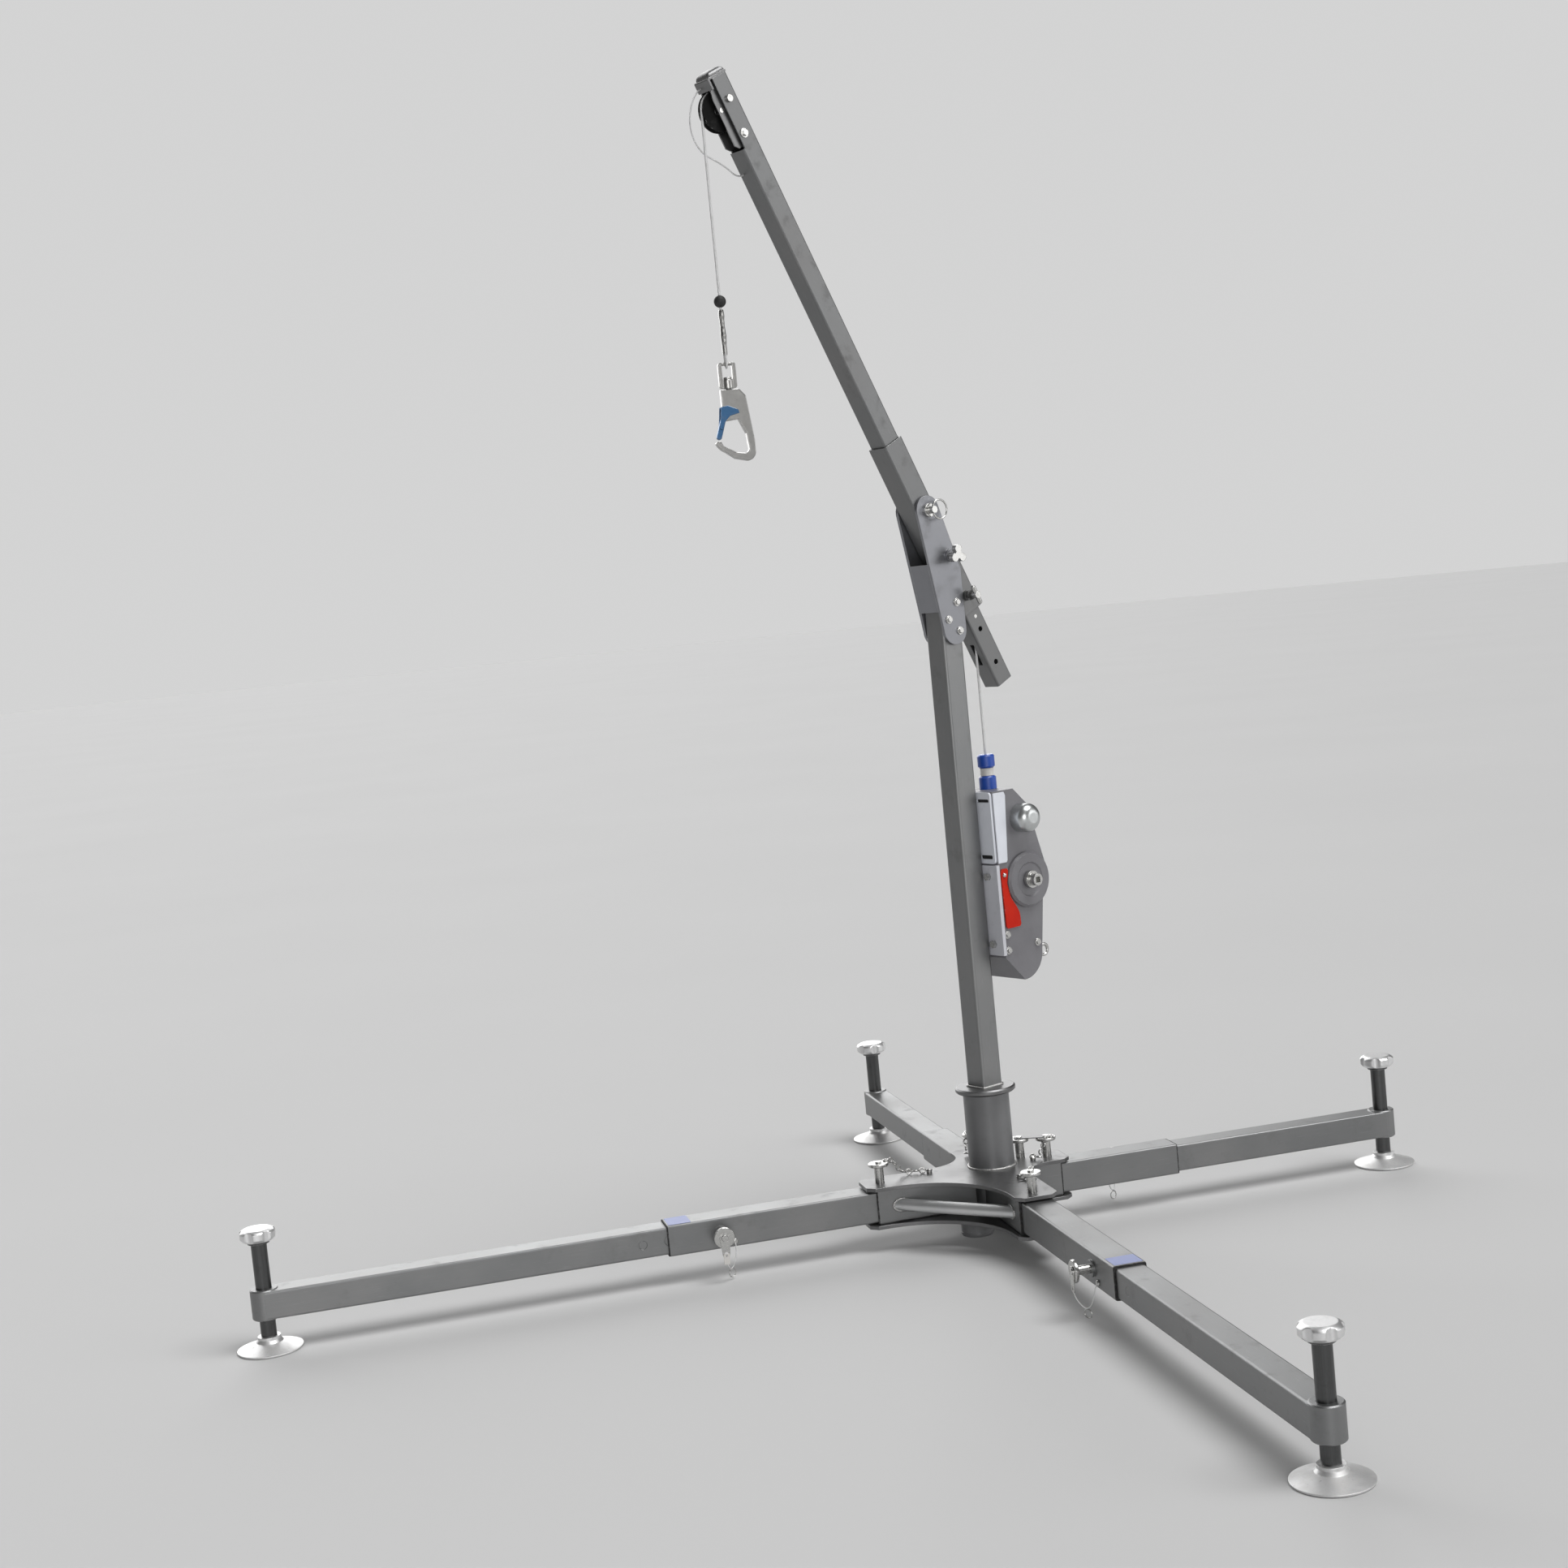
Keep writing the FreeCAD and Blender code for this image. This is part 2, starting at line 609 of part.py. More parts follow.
def luff_pin_spot():
    return xz(*boom_to_mast(0, -LUFF_PIN_AT))


def cheek(side):
    inner = side * HALF_MAST
    outer = side * (HALF_MAST + CHEEK_T)
    solid = plate(cheek_outline(), min(inner, outer), max(inner, outer))
    pivot = cylinder(PIVOT_PIN_D + 2 * PIN_GAP, MAST_W, xz(PIVOT_X, PIVOT_Z), V(0, side, 0))
    if side > 0:
        return solid.cut(pivot)
    spot = luff_pin_spot()
    boss = cylinder(LUFF_BOSS_D, CHEEK_T, spot + V(0, outer, 0), V(0, side, 0))
    bore = cylinder(LUFF_PIN_D + 2 * RUN_GAP, MAST_W, spot, V(0, side, 0))
    return cut(fuse(solid, boss), pivot, bore)


def front_edge_x(z):
    """X of the cheeks' front edge at a height."""
    foot_x = CHEEK_FOOT_X - CHEEK_FOOT_R
    up = (xz(PIVOT_X, PIVOT_Z) - xz(CHEEK_FOOT_X, CHEEK_FOOT_Z)).normalize()
    top = xz(PIVOT_X, PIVOT_Z) + V(-up.z, 0, up.x) * CHEEK_EYE_R
    return foot_x + (top.x - foot_x) * (z - CHEEK_FOOT_Z) / (top.z - CHEEK_FOOT_Z)


def head_front_plate():
    low, high = MAST_TOP, FRONT_PLATE_TOP
    x_low, x_high = front_edge_x(low), front_edge_x(high)
    t = FRONT_PLATE_T
    corners = [xz(x_low, low), xz(x_high, high), xz(x_high + t, high), xz(x_low + t, low)]
    return plate(Part.makePolygon(corners + corners[:1]), -HALF_MAST, HALF_MAST)


def pivot_pins():
    """Stub pin on each side, through cheek and boom holder; the near one ends in an eye for its ring."""
    inner = HOLDER_W / 2 - HOLDER_WALL + TIP_HOLD / 2
    face = HALF_MAST + CHEEK_T
    pins = []
    for side in (-1, 1):
        profile = [(0, inner), (PIVOT_PIN_D / 2, inner), (PIVOT_PIN_D / 2, face), (PIVOT_HEAD_D / 2, face),
                   (PIVOT_HEAD_D / 2, face + PIVOT_HEAD_T)]
        if side < 0:
            profile += [(PIVOT_STUB_D / 2, face + PIVOT_HEAD_T),
                        (PIVOT_STUB_D / 2, face + PIVOT_HEAD_T + PIVOT_STUB_L),
                        (0, face + PIVOT_HEAD_T + PIVOT_STUB_L)]
        else:
            profile += [(0, face + PIVOT_HEAD_T)]
        pin = turned(profile)
        if side < 0:
            middle = face + PIVOT_HEAD_T + PIVOT_STUB_L / 2
            pin = pin.cut(cylinder(RING_HOLE_D, 2 * PIVOT_STUB_D, V(0, -PIVOT_STUB_D, middle), Y_AXIS))
        pin.rotate(ORIGIN, X_AXIS, -90 * side)
        pin.translate(xz(PIVOT_X, PIVOT_Z))
        pins.append(pin)
    return Part.makeCompound(pins)


def pivot_ring():
    y = -(HALF_MAST + CHEEK_T + PIVOT_HEAD_T + PIVOT_STUB_L / 2)
    return Part.makeTorus(RING_R, RING_WIRE_D / 2, V(PIVOT_X + RING_R, y, PIVOT_Z), Y_AXIS)


def tee_pin(diameter, tip, boss_face):
    """Pull pin with a cross handle, along -Y from the tip to the handle beyond its boss."""
    end = boss_face + HANDLE_STAND
    shank = cylinder(diameter, end - tip, V(0, -tip, 0), V(0, -1, 0))
    collar = cylinder(diameter + 4, HANDLE_D, V(0, -end + HANDLE_D / 2, 0), V(0, -1, 0))
    bar = cylinder(HANDLE_D, HANDLE_L, V(0, -end, -HANDLE_L / 2))
    ends = [Part.makeSphere(HANDLE_D / 2, V(0, -end, z)) for z in (-HANDLE_L / 2, HANDLE_L / 2)]
    return fuse(shank, collar, bar, *ends)


def luff_pin():
    """Pull pin through the near cheek, with a lobed knob."""
    tip, end = HALF_MAST + TIP_HOLD, HALF_MAST + 2 * CHEEK_T + HANDLE_STAND
    near = V(0, -1, 0)
    shank = cylinder(LUFF_PIN_D, end - tip, near * tip, near)
    lobes = [cylinder(LOBE_D, LOBE_T, near * (end - LOBE_T), near)]
    for n in range(LOBES):
        aside = FreeCAD.Rotation(Y_AXIS, 360.0 * n / LOBES).multVec(V(0, 0, LOBE_AT))
        lobes.append(cylinder(LOBE_D, LOBE_T, near * (end - LOBE_T) + aside, near))
    pin = fuse(shank, *lobes)
    pin.translate(luff_pin_spot())
    return pin


# Boom, in its own frame
def boom_holder():
    tube = square_tube(HOLDER_W, HOLDER_WALL, TUBE_CORNER, -HOLDER_DOWN, HOLDER_UP)
    pivot = cylinder(PIVOT_PIN_D + 2 * RUN_GAP, 2 * MAST_W, V(0, -MAST_W, 0), Y_AXIS)
    lock = cylinder(LUFF_PIN_D + 4 * PIN_GAP, MAST_W, V(0, 0, -LUFF_PIN_AT), V(0, -1, 0))
    boss = cylinder(PLUNGER_BOSS_D, PLUNGER_TRAVEL, V(0, -HOLDER_W / 2, -PLUNGER_AT), V(0, -1, 0))
    bore = cylinder(PLUNGER_D + 2 * RUN_GAP, MAST_W, V(0, 0, -PLUNGER_AT), V(0, -1, 0))
    slot_top = -rope_entry_z() + ROPE_ENTRY_SLOT_L / 2 + BOOM_STEP * BOOM_STEPS
    aside = ROPE_ENTRY_SLOT_W / 2
    slot = block((-HOLDER_W, 0), (-aside, aside), (-HOLDER_DOWN - 1, slot_top))
    return cut(fuse(tube, boss), pivot, lock, bore, slot)


def rope_entry_z():
    """Where the upright rope passes the boom's underside, below the pivot along the boom."""
    away = (ROPE_X - PIVOT_X) * cos(LEAN) + BOOM_W / 2
    drop = away / sin(LEAN)
    return (ROPE_X - PIVOT_X) * sin(LEAN) + drop * cos(LEAN)


def rope_corner_z():
    """Where the upright rope meets the line of the rope inside the boom, below the pivot along the boom."""
    away = (ROPE_X - PIVOT_X) * cos(LEAN) - INNER_ROPE_OFFSET
    drop = away / sin(LEAN)
    return (ROPE_X - PIVOT_X) * sin(LEAN) + drop * cos(LEAN)


def tail_sheave_middle():
    """X and Z of the tail sheave: inside the bend of the rope."""
    tangent = TAIL_SHEAVE_R * tan(LEAN / 2)
    return INNER_ROPE_OFFSET - TAIL_SHEAVE_R, -rope_corner_z() + tangent


def boom_tube():
    half = BOOM_W / 2
    tube = square_tube(BOOM_W, BOOM_WALL, TUBE_CORNER, -BOOM_TAIL, BOOM_HEAD)
    mouth = block((-half - 1, -half + HEAD_WALL_CUT), (-half - 1, half + 1),
                  (BOOM_HEAD - HEAD_MOUTH, BOOM_HEAD + 1))
    entry = block((-half - 1, 0), (-ROPE_ENTRY_SLOT_W / 2, ROPE_ENTRY_SLOT_W / 2),
                  (-rope_entry_z() - ROPE_ENTRY_SLOT_L / 2, -rope_entry_z() + ROPE_ENTRY_SLOT_L / 2))
    axles = [cap_screw_hole()]
    x, z = tail_sheave_middle()
    axles.append(cylinder(TAIL_AXLE_D + 2 * PIN_GAP, 2 * BOOM_W, V(x, -BOOM_W, z), Y_AXIS))
    holes = []
    for n in range(BOOM_STEPS + 1):
        at = V(0, 0, -PLUNGER_AT - n * BOOM_STEP)
        holes.append(cylinder(PLUNGER_D + 4 * PIN_GAP, BOOM_W, at, V(0, -1, 0)))
    return cut(tube, mouth, entry, *axles, *holes)


def cap_screw_hole():
    return cylinder(CAP_SCREW_D + 2 * PIN_GAP, 2 * BOOM_W, V(0, -BOOM_W, CAP_SCREW_AT), Y_AXIS)


def head_cap():
    """End plate folded over the underside, with the two fork plates that carry the head sheave."""
    half = BOOM_W / 2
    face = half + CAP_T
    end = block((-face, half), (-half, half), (BOOM_HEAD, BOOM_HEAD + CAP_T))
    lip = block((-face, -half), (-half, half), (BOOM_HEAD - CAP_LIP, BOOM_HEAD + CAP_T))
    cap = fuse(end, lip)
    bend = [e for e in cap.Edges if abs(e.BoundBox.XMax + face) < 0.01 and e.BoundBox.YLength > half
            and e.BoundBox.ZMax > BOOM_HEAD]
    cap = cap.makeFillet(0.8 * CAP_T, bend)
    low = BOOM_HEAD - HEAD_MOUTH + CAP_T
    reach = FORK_FRONT
    fork = lines_and_arcs(xz(FORK_BACK, BOOM_HEAD), xz(FORK_BACK, low + reach), xz(-FORK_BACK, low),
                          xz(FORK_BACK - reach, low), xz(-reach, low + FORK_BACK),
                          xz(-reach, BOOM_HEAD - 2 * CAP_LIP), xz(-face, BOOM_HEAD - CAP_LIP),
                          xz(-face, BOOM_HEAD))
    plates, spacers = [], []
    for side in (-1, 1):
        y = sorted((side * FORK_INNER, side * (FORK_INNER + FORK_T)))
        plates.append(plate(fork, *y))
        spacers.append(cylinder(CAP_SCREW_HEAD_D, half - BOOM_WALL - SLIDE_GAP - FORK_INNER,
                                V(0, side * FORK_INNER, CAP_SCREW_AT), V(0, side, 0)))
    axle = cylinder(HEAD_AXLE_D + 2 * PIN_GAP, BOOM_W, V(-HEAD_SHEAVE_OFFSET, -half, HEAD_SHEAVE_AT), Y_AXIS)
    return cut(fuse(cap, *plates, *spacers), axle, cap_screw_hole())


def sheave(radius, axle, hub):
    """Grooved wheel about Y at the origin, with a hub of a length; radius is to the middle of the rope."""
    rim, groove = radius + SHEAVE_RIM, radius - ROPE_R - SLIDE_GAP
    half = SHEAVE_W / 2
    wheel = cylinder(2 * rim, SHEAVE_W, V(0, -half, 0), Y_AXIS)
    corners = [V(groove, -ROPE_R, 0), V(rim + 1, -half + 1, 0), V(rim + 1, half - 1, 0), V(groove, ROPE_R, 0)]
    ring = Part.Face(Part.makePolygon(corners + corners[:1])).revolve(ORIGIN, Y_AXIS, 360)
    bore = cylinder(axle + 2 * RUN_GAP, hub, V(0, -hub / 2, 0), Y_AXIS)
    boss = cylinder(2 * axle, hub, V(0, -hub / 2, 0), Y_AXIS)
    return cut(fuse(wheel.cut(ring), boss), bore)


def head_sheave():
    wheel = sheave(HEAD_SHEAVE_R, HEAD_AXLE_D, 2 * FORK_INNER - 2 * SLIDE_GAP)
    wheel.translate(V(-HEAD_SHEAVE_OFFSET, 0, HEAD_SHEAVE_AT))
    return wheel


def tail_sheave():
    wheel = sheave(TAIL_SHEAVE_R, TAIL_AXLE_D, SHEAVE_W)
    x, z = tail_sheave_middle()
    wheel.translate(V(x, 0, z))
    return wheel


def sheave_axles():
    """Flush axle and two cap screws at the boom head, and a flush pin at the tail."""
    half = BOOM_W / 2
    fork = FORK_INNER + FORK_T
    axle = cylinder(HEAD_AXLE_D, 2 * fork, V(-HEAD_SHEAVE_OFFSET, -fork, HEAD_SHEAVE_AT), Y_AXIS)
    screws = []
    for side in (-1, 1):
        out = V(0, side, 0)
        at = V(0, 0, CAP_SCREW_AT)
        screws.append(fuse(cylinder(CAP_SCREW_D, half - FORK_INNER, at + out * FORK_INNER, out),
                           cylinder(CAP_SCREW_HEAD_D, CAP_SCREW_HEAD_T, at + out * half, out)))
    x, z = tail_sheave_middle()
    pin = cylinder(TAIL_AXLE_D, BOOM_W - 2 * SLIDE_GAP, V(x, -half + SLIDE_GAP, z), Y_AXIS)
    return Part.makeCompound([axle, pin] + screws)


def boom_plunger():
    pin = tee_pin(PLUNGER_D, HOLDER_W / 2 - HOLDER_WALL + TIP_HOLD, HOLDER_W / 2 + PLUNGER_TRAVEL)
    pin.translate(V(0, 0, -PLUNGER_AT))
    return pin


def rope_inner():
    """Rope inside the boom: round the tail sheave, up the boom and over the head sheave to its front."""
    offset = INNER_ROPE_OFFSET
    xt, zt = tail_sheave_middle()
    xh, zh = -HEAD_SHEAVE_OFFSET, HEAD_SHEAVE_AT

    def rim(x, z, radius, angle):
        return V(x + radius * cos(angle), 0, z + radius * sin(angle))
    start = rim(xt, zt, TAIL_SHEAVE_R, -LEAN)
    first = Part.Arc(start, rim(xt, zt, TAIL_SHEAVE_R, -LEAN / 2), V(offset, 0, zt)).toShape()
    run = Part.LineSegment(V(offset, 0, zt), V(offset, 0, zh)).toShape()
    turn = pi - LEAN
    middle, end = rim(xh, zh, HEAD_SHEAVE_R, turn / 2), rim(xh, zh, HEAD_SHEAVE_R, turn)
    over = Part.Arc(V(offset, 0, zh), middle, end).toShape()
    return round_tube(ROPE_D, [first, run, over])


# Ropes outside the boom, in the mast's frame
def rope_run():
    """Upright rope from the drum to the tail sheave."""
    xt, zt = tail_sheave_middle()
    top = boom_to_mast(xt + TAIL_SHEAVE_R * cos(LEAN), zt - TAIL_SHEAVE_R * sin(LEAN))[1]
    return cylinder(ROPE_D, top - DRUM_Z, V(ROPE_X, 0, DRUM_Z))


def fall_spot():
    """X of the hanging rope and height of the head sheave, in the mast's frame."""
    x, z = boom_to_mast(-HEAD_SHEAVE_OFFSET, HEAD_SHEAVE_AT)
    return x - HEAD_SHEAVE_R, z


def rope_fall():
    x, z = fall_spot()
    return cylinder(ROPE_D, z - FERRULE_Z[1], V(x, 0, FERRULE_Z[1]))


def tether_wire():
    """Thin wire round the hanging rope, from the head cap out and back to the boom's underside."""
    half = BOOM_W / 2
    y = (SHEAVE_W / 2 + FORK_INNER) / 2
    top, low = BOOM_HEAD - CAP_LIP / 2, BOOM_HEAD - WIRE_LOW * HEAD_MOUTH
    bulge, drop = WIRE_BULGE * half, top - low
    spots = ((half + CAP_T, top), (0.45 * bulge, top), (0.9 * bulge, top - 0.22 * drop),
             (bulge, top - 0.54 * drop), (0.57 * bulge, low + 0.2 * drop), (0.39 * bulge, low), (half, low))
    return rounded_path(WIRE_D, [V(-aside, y, z) for aside, z in spots])


def rounded_path(diameter, points):
    """Tube along straight runs whose corners are arcs as large as the runs allow."""
    edges, last = [], points[0]
    for before, at, after in zip(points, points[1:], points[2:]):
        a, b = (before - at), (after - at)
        reach = 0.45 * min(a.Length, b.Length)
        a, b = a.normalize(), b.normalize()
        start, end = at + a * reach, at + b * reach
        half = a.getAngle(b) / 2
        radius = reach * tan(half)
        bisector = (a + b).normalize()
        middle = at + bisector * (radius / sin(half) - radius)
        edges.append(Part.LineSegment(last, start).toShape())
        edges.append(Part.Arc(start, middle, end).toShape())
        last = end
    edges.append(Part.LineSegment(last, points[-1]).toShape())
    return round_tube(diameter, edges)


# Winch, behind the mast
def winch_outline(shrink=0.0):
    """Side outline: flat back to the mast, sloped top, round drum case and round belly."""
    front, top = WINCH_FRONT + shrink, WINCH_TOP - shrink
    case, belly = DRUM_CASE_R - shrink, WINCH_BELLY_R - shrink
    bx, bz = WINCH_BELLY
    shoulder = WINCH_FRONT + WINCH_TOP_DEPTH
    slope = radians(25)
    case_top = xz(DRUM_X + case * cos(slope), DRUM_Z + case * sin(slope))
    corner = xz(shoulder + 0.62 * WINCH_TOP_DEPTH, WINCH_TOP - 0.62 * WINCH_TOP_DEPTH)
    case_low = xz(DRUM_X + case * cos(-0.85), DRUM_Z + case * sin(-0.85))
    return lines_and_arcs(
        xz(front, WINCH_FRONT_Z), xz(front, top), xz(shoulder - shrink, top), corner, case_top,
        (xz(DRUM_X + case, DRUM_Z), case_low), xz(bx + belly, bz),
        (xz(bx + belly * cos(-0.9), bz + belly * sin(-0.9)), xz(bx, bz - belly)))


def winch_case():
    """Housing with the drum bay, the rope's way out on top and bosses for the bracket bolts."""
    solid = plate(winch_outline(), -WINCH_HALF, WINCH_HALF)
    bay = DRUM_FLANGE_R + DRUM_CAVITY_GAP
    y = -WINCH_HALF - 1
    cavity = cylinder(2 * bay, 2 * WINCH_HALF - CASE_WALL + 1, V(DRUM_X, y, DRUM_Z), Y_AXIS)
    shaft = cylinder(SHAFT_D + 2 * RUN_GAP, 3 * WINCH_HALF, V(DRUM_X, y, DRUM_Z), Y_AXIS)
    way = cylinder(GUIDE_NECK_D / 2, WINCH_TOP - DRUM_Z, V(ROPE_X, 0, DRUM_Z))
    stem = cylinder(SELECTOR_STEM_D + 2 * RUN_GAP, 2 * CASE_WALL + SELECTOR_TRAVEL,
                    V(selector_x(), y, SELECTOR_Z), Y_AXIS)
    bolts = bolt_holes(WINCH_FRONT, 2 * BOLT_HEAD_D)
    return cut(solid, cavity, shaft, way, stem, *bolts)


def selector_x():
    return DRUM_X - COVER_T / 2


def winch_cover():
    """Round dished cover over the drum bay on the near side."""
    r = COVER_LIP_R + COVER_T / 2
    solid = turned([(0, 0), (r, 0), (r, COVER_T / 2), (r - COVER_T / 2, COVER_T), (CRANK_HUB_D, COVER_T),
                    (CRANK_HUB_D - 3, COVER_T - 2), (0, COVER_T - 2)])
    solid = solid.cut(cylinder(SHAFT_D + 2 * RUN_GAP, 2 * COVER_T, V(0, 0, -1)))
    solid.rotate(ORIGIN, X_AXIS, 90)
    solid.translate(V(DRUM_X, -WINCH_HALF, DRUM_Z))
    return solid


def rope_drum():
    """Flanged drum with the rope wound on it and its shaft through case and cover."""
    near, far = -WINCH_HALF + SEAT_GAP, WINCH_HALF - CASE_WALL - SEAT_GAP
    core = cylinder(2 * DRUM_ROPE_R - 2 * ROPE_D, far - near, V(0, near, 0), Y_AXIS)
    flanges = [cylinder(2 * DRUM_FLANGE_R, DRUM_FLANGE_T, V(0, y, 0), Y_AXIS)
               for y in (near, far - DRUM_FLANGE_T)]
    shaft = cylinder(SHAFT_D, WINCH_HALF - WINCH_NEAR, V(0, WINCH_NEAR, 0), Y_AXIS)
    solid = fuse(core, shaft, *flanges)
    solid.translate(V(DRUM_X, 0, DRUM_Z))
    return solid


def crank_hub():
    """Hub on the drum shaft with the square socket for the crank."""
    solid = fuse(cylinder(CRANK_HUB_D, CRANK_HUB_L / 3, ORIGIN),
                 cylinder(0.7 * CRANK_HUB_D, CRANK_HUB_L, ORIGIN))
    half = CRANK_SQUARE / 2
    solid = solid.cut(block((-half, half), (-half, half), (CRANK_HUB_L / 3, CRANK_HUB_L + 1)))
    solid.rotate(ORIGIN, X_AXIS, 90)
    solid.translate(V(DRUM_X, WINCH_NEAR, DRUM_Z))
    return solid


def selector_knob():
    """Domed knob on a stem in the case's near side."""
    r, length = SELECTOR_D / 2, SELECTOR_L
    stem = SELECTOR_STEM_D / 2
    bite = CASE_WALL + SELECTOR_TRAVEL / 2
    profile = lines_and_arcs(xz(0, -bite), xz(stem, -bite), xz(stem, SEAT_GAP), xz(r, SEAT_GAP),
                             xz(r, 0.6 * length), (xz(0.8 * r, 0.86 * length), xz(0.35 * r, length)),
                             xz(0, length))
    knob = Part.Face(profile).revolve(ORIGIN, Z_AXIS, 360)
    knob.rotate(ORIGIN, X_AXIS, 90)
    knob.translate(V(selector_x(), -WINCH_HALF, SELECTOR_Z))
    return knob


def rope_guide():
    """Two collars and a neck on top of the case, bored for the rope."""
    c, n, k = GUIDE_COLLAR_D / 2, GUIDE_NECK_D / 2, 3.0
    z1 = WINCH_TOP + GUIDE_COLLAR_L
    z2 = z1 + GUIDE_NECK_L
    z3 = z2 + GUIDE_COLLAR_L
    bore = ROPE_R + SLIDE_GAP
    solid = turned([(bore, WINCH_TOP), (c, WINCH_TOP), (c, z1 - k), (c - k, z1), (n, z1), (n, z2),
                    (c - k, z2), (c, z2 + k), (c, z3 - k), (c - k, z3), (bore, z3)])
    solid.translate(V(ROPE_X, 0, 0))
    return solid


def bolt_spots():
    low, high = WINCH_PLATE_Z
    return [(y, z) for y in (-BOLT_Y, BOLT_Y) for z in (low + BOLT_INSET, high - BOLT_INSET)]


def bolt_holes(x, depth):
    return [cylinder(BOLT_D + 2 * PIN_GAP, depth, V(x, y, z), X_AXIS) for y, z in bolt_spots()]


def winch_bracket():
    solid = block((HALF_MAST, WINCH_FRONT), (-WINCH_PLATE_HALF, WINCH_PLATE_HALF), WINCH_PLATE_Z)
    return cut(solid, *bolt_holes(HALF_MAST - 1, 2 * WINCH_PLATE_T))


def bracket_bolts():
    bolts = []
    r = BOLT_HEAD_D / 2
    hexagon = Part.makePolygon([V(0, r * cos(n * pi / 3), r * sin(n * pi / 3)) for n in range(7)])
    for y, z in bolt_spots():
        head = Part.Face(hexagon).extrude(V(-BOLT_HEAD_T, 0, 0))
        bolt = fuse(head, cylinder(BOLT_D, WINCH_PLATE_T + 2 * BOLT_HEAD_D - BOLT_D, ORIGIN, X_AXIS))
        bolt.translate(V(HALF_MAST, y, z))
        bolts.append(bolt)
    return Part.makeCompound(bolts)


# Rope end and hook, upright about their own axis with the hook's plane along X
def at_fall(shape):
    x = fall_spot()[0]
    turn = FreeCAD.Rotation(Z_AXIS, SLEW_AT_REST)
    shape.translate(turn.multVec(V(x, 0, 0)))
    return shape


def stopper_ball():
    ball = Part.makeSphere(BALL_D / 2, V(0, 0, BALL_Z))
    return ball.cut(cylinder(ROPE_D + 2 * RUN_GAP, 2 * BALL_D, V(0, 0, BALL_Z - BALL_D)))


def rope_ferrule():
    """Oval ferrule whose loop goes round the swivel eye's top bar."""
    low, high = FERRULE_Z
    body = rounded_face(FERRULE_THIN, FERRULE_WIDE, FERRULE_THIN / 2 - 0.1).extrude(V(0, 0, high - low))
    body.translate(V(0, 0, low))
    bar_z = EYE_TOP_Z - EYE_BAR / 2 + SEAT_GAP
    left, right = V(0, -LOOP_R, bar_z), V(0, LOOP_R, bar_z)
    up = V(0, 0, low + LOOP_R - bar_z)
    edges = [Part.LineSegment(left + up, left).toShape(),
             Part.Arc(left, V(0, 0, bar_z - LOOP_R), right).toShape(),
             Part.LineSegment(right, right + up).toShape()]
    return fuse(body, round_tube(LOOP_WIRE_D, edges))


def swivel_eye():
    low = EYE_TOP_Z - EYE_HEIGHT
    frame = rounded_face(EYE_W, EYE_HEIGHT, EYE_BAR).extrude(V(0, 0, EYE_T))
    window_h = EYE_HEIGHT - EYE_BAR - EYE_FOOT
    window = rounded_face(EYE_WINDOW_W, window_h, EYE_BAR / 2).extrude(V(0, 0, EYE_T))
    window.translate(V(0, (EYE_FOOT - EYE_BAR) / 2, 0))
    half = EYE_WINDOW_W / 2
    gap = block((-half, half), (0, EYE_HEIGHT), (0, EYE_T))
    bar = cylinder(EYE_BAR, EYE_WINDOW_W, V(-half, EYE_HEIGHT / 2 - EYE_BAR / 2, EYE_T / 2), X_AXIS)
    link = fuse(cut(frame, window, gap), bar)
    link.rotate(ORIGIN, X_AXIS, 90)
    link.translate(V(0, EYE_T / 2, low + EYE_HEIGHT / 2))
    foot = cylinder(EYE_WINDOW_W, EYE_FOOT, V(0, 0, low))
    return fuse(link, foot).cut(cylinder(STEM_D + 2 * RUN_GAP, EYE_FOOT, V(0, 0, low)))


def gate_spot(place):
    """Point of the gate given as x and the drop below the hook's top."""
    return xz(place[0], HOOK_TOP_Z - place[1])


def hook_outline(top):
    """Side view: top block, straight back limb, squarish bowl and short nose."""
    bar = HOOK_BAR
    back_high, back_low = HOOK_BACK
    limb_high, limb_low = top - HOOK_BACK_DROP[0], top - HOOK_BACK_DROP[1]
    low, nose, window = top - HOOK_DROP, top - HOOK_NOSE_DROP, top - HOOK_WINDOW_DROP
    tip = -HOOK_NOSE
    return lines_and_arcs(
        xz(-HOOK_FRONT, top), xz(HOOK_SHOULDER, top), xz(back_high, limb_high), xz(back_low, limb_low),
        xz(back_low, low + 1.5 * bar),
        (xz(back_low - 0.35 * bar, low + 0.5 * bar), xz(back_low - 1.3 * bar, low)),
        xz(0, low + bar / 2), xz(0.5 * tip, low + 1.6 * bar),
        (xz(0.86 * tip, nose - bar), xz(tip, nose - 0.3 * bar)),
        (xz(tip + 0.4 * bar, nose), xz(tip + 0.9 * bar, nose - 0.2 * bar)),
        xz(0.6 * tip, nose - 0.8 * bar), xz(0.3 * bar, low + 1.5 * bar), xz(back_high - bar, low + 1.3 * bar),
        (xz(back_low - 1.2 * bar, low + 1.5 * bar), xz(back_low - bar, low + 2.2 * bar)),
        xz(back_low - 1.25 * bar, limb_low + bar), xz(HOOK_SHOULDER - bar / 2, window),
        xz(-HOOK_FRONT, window - 0.2 * bar))


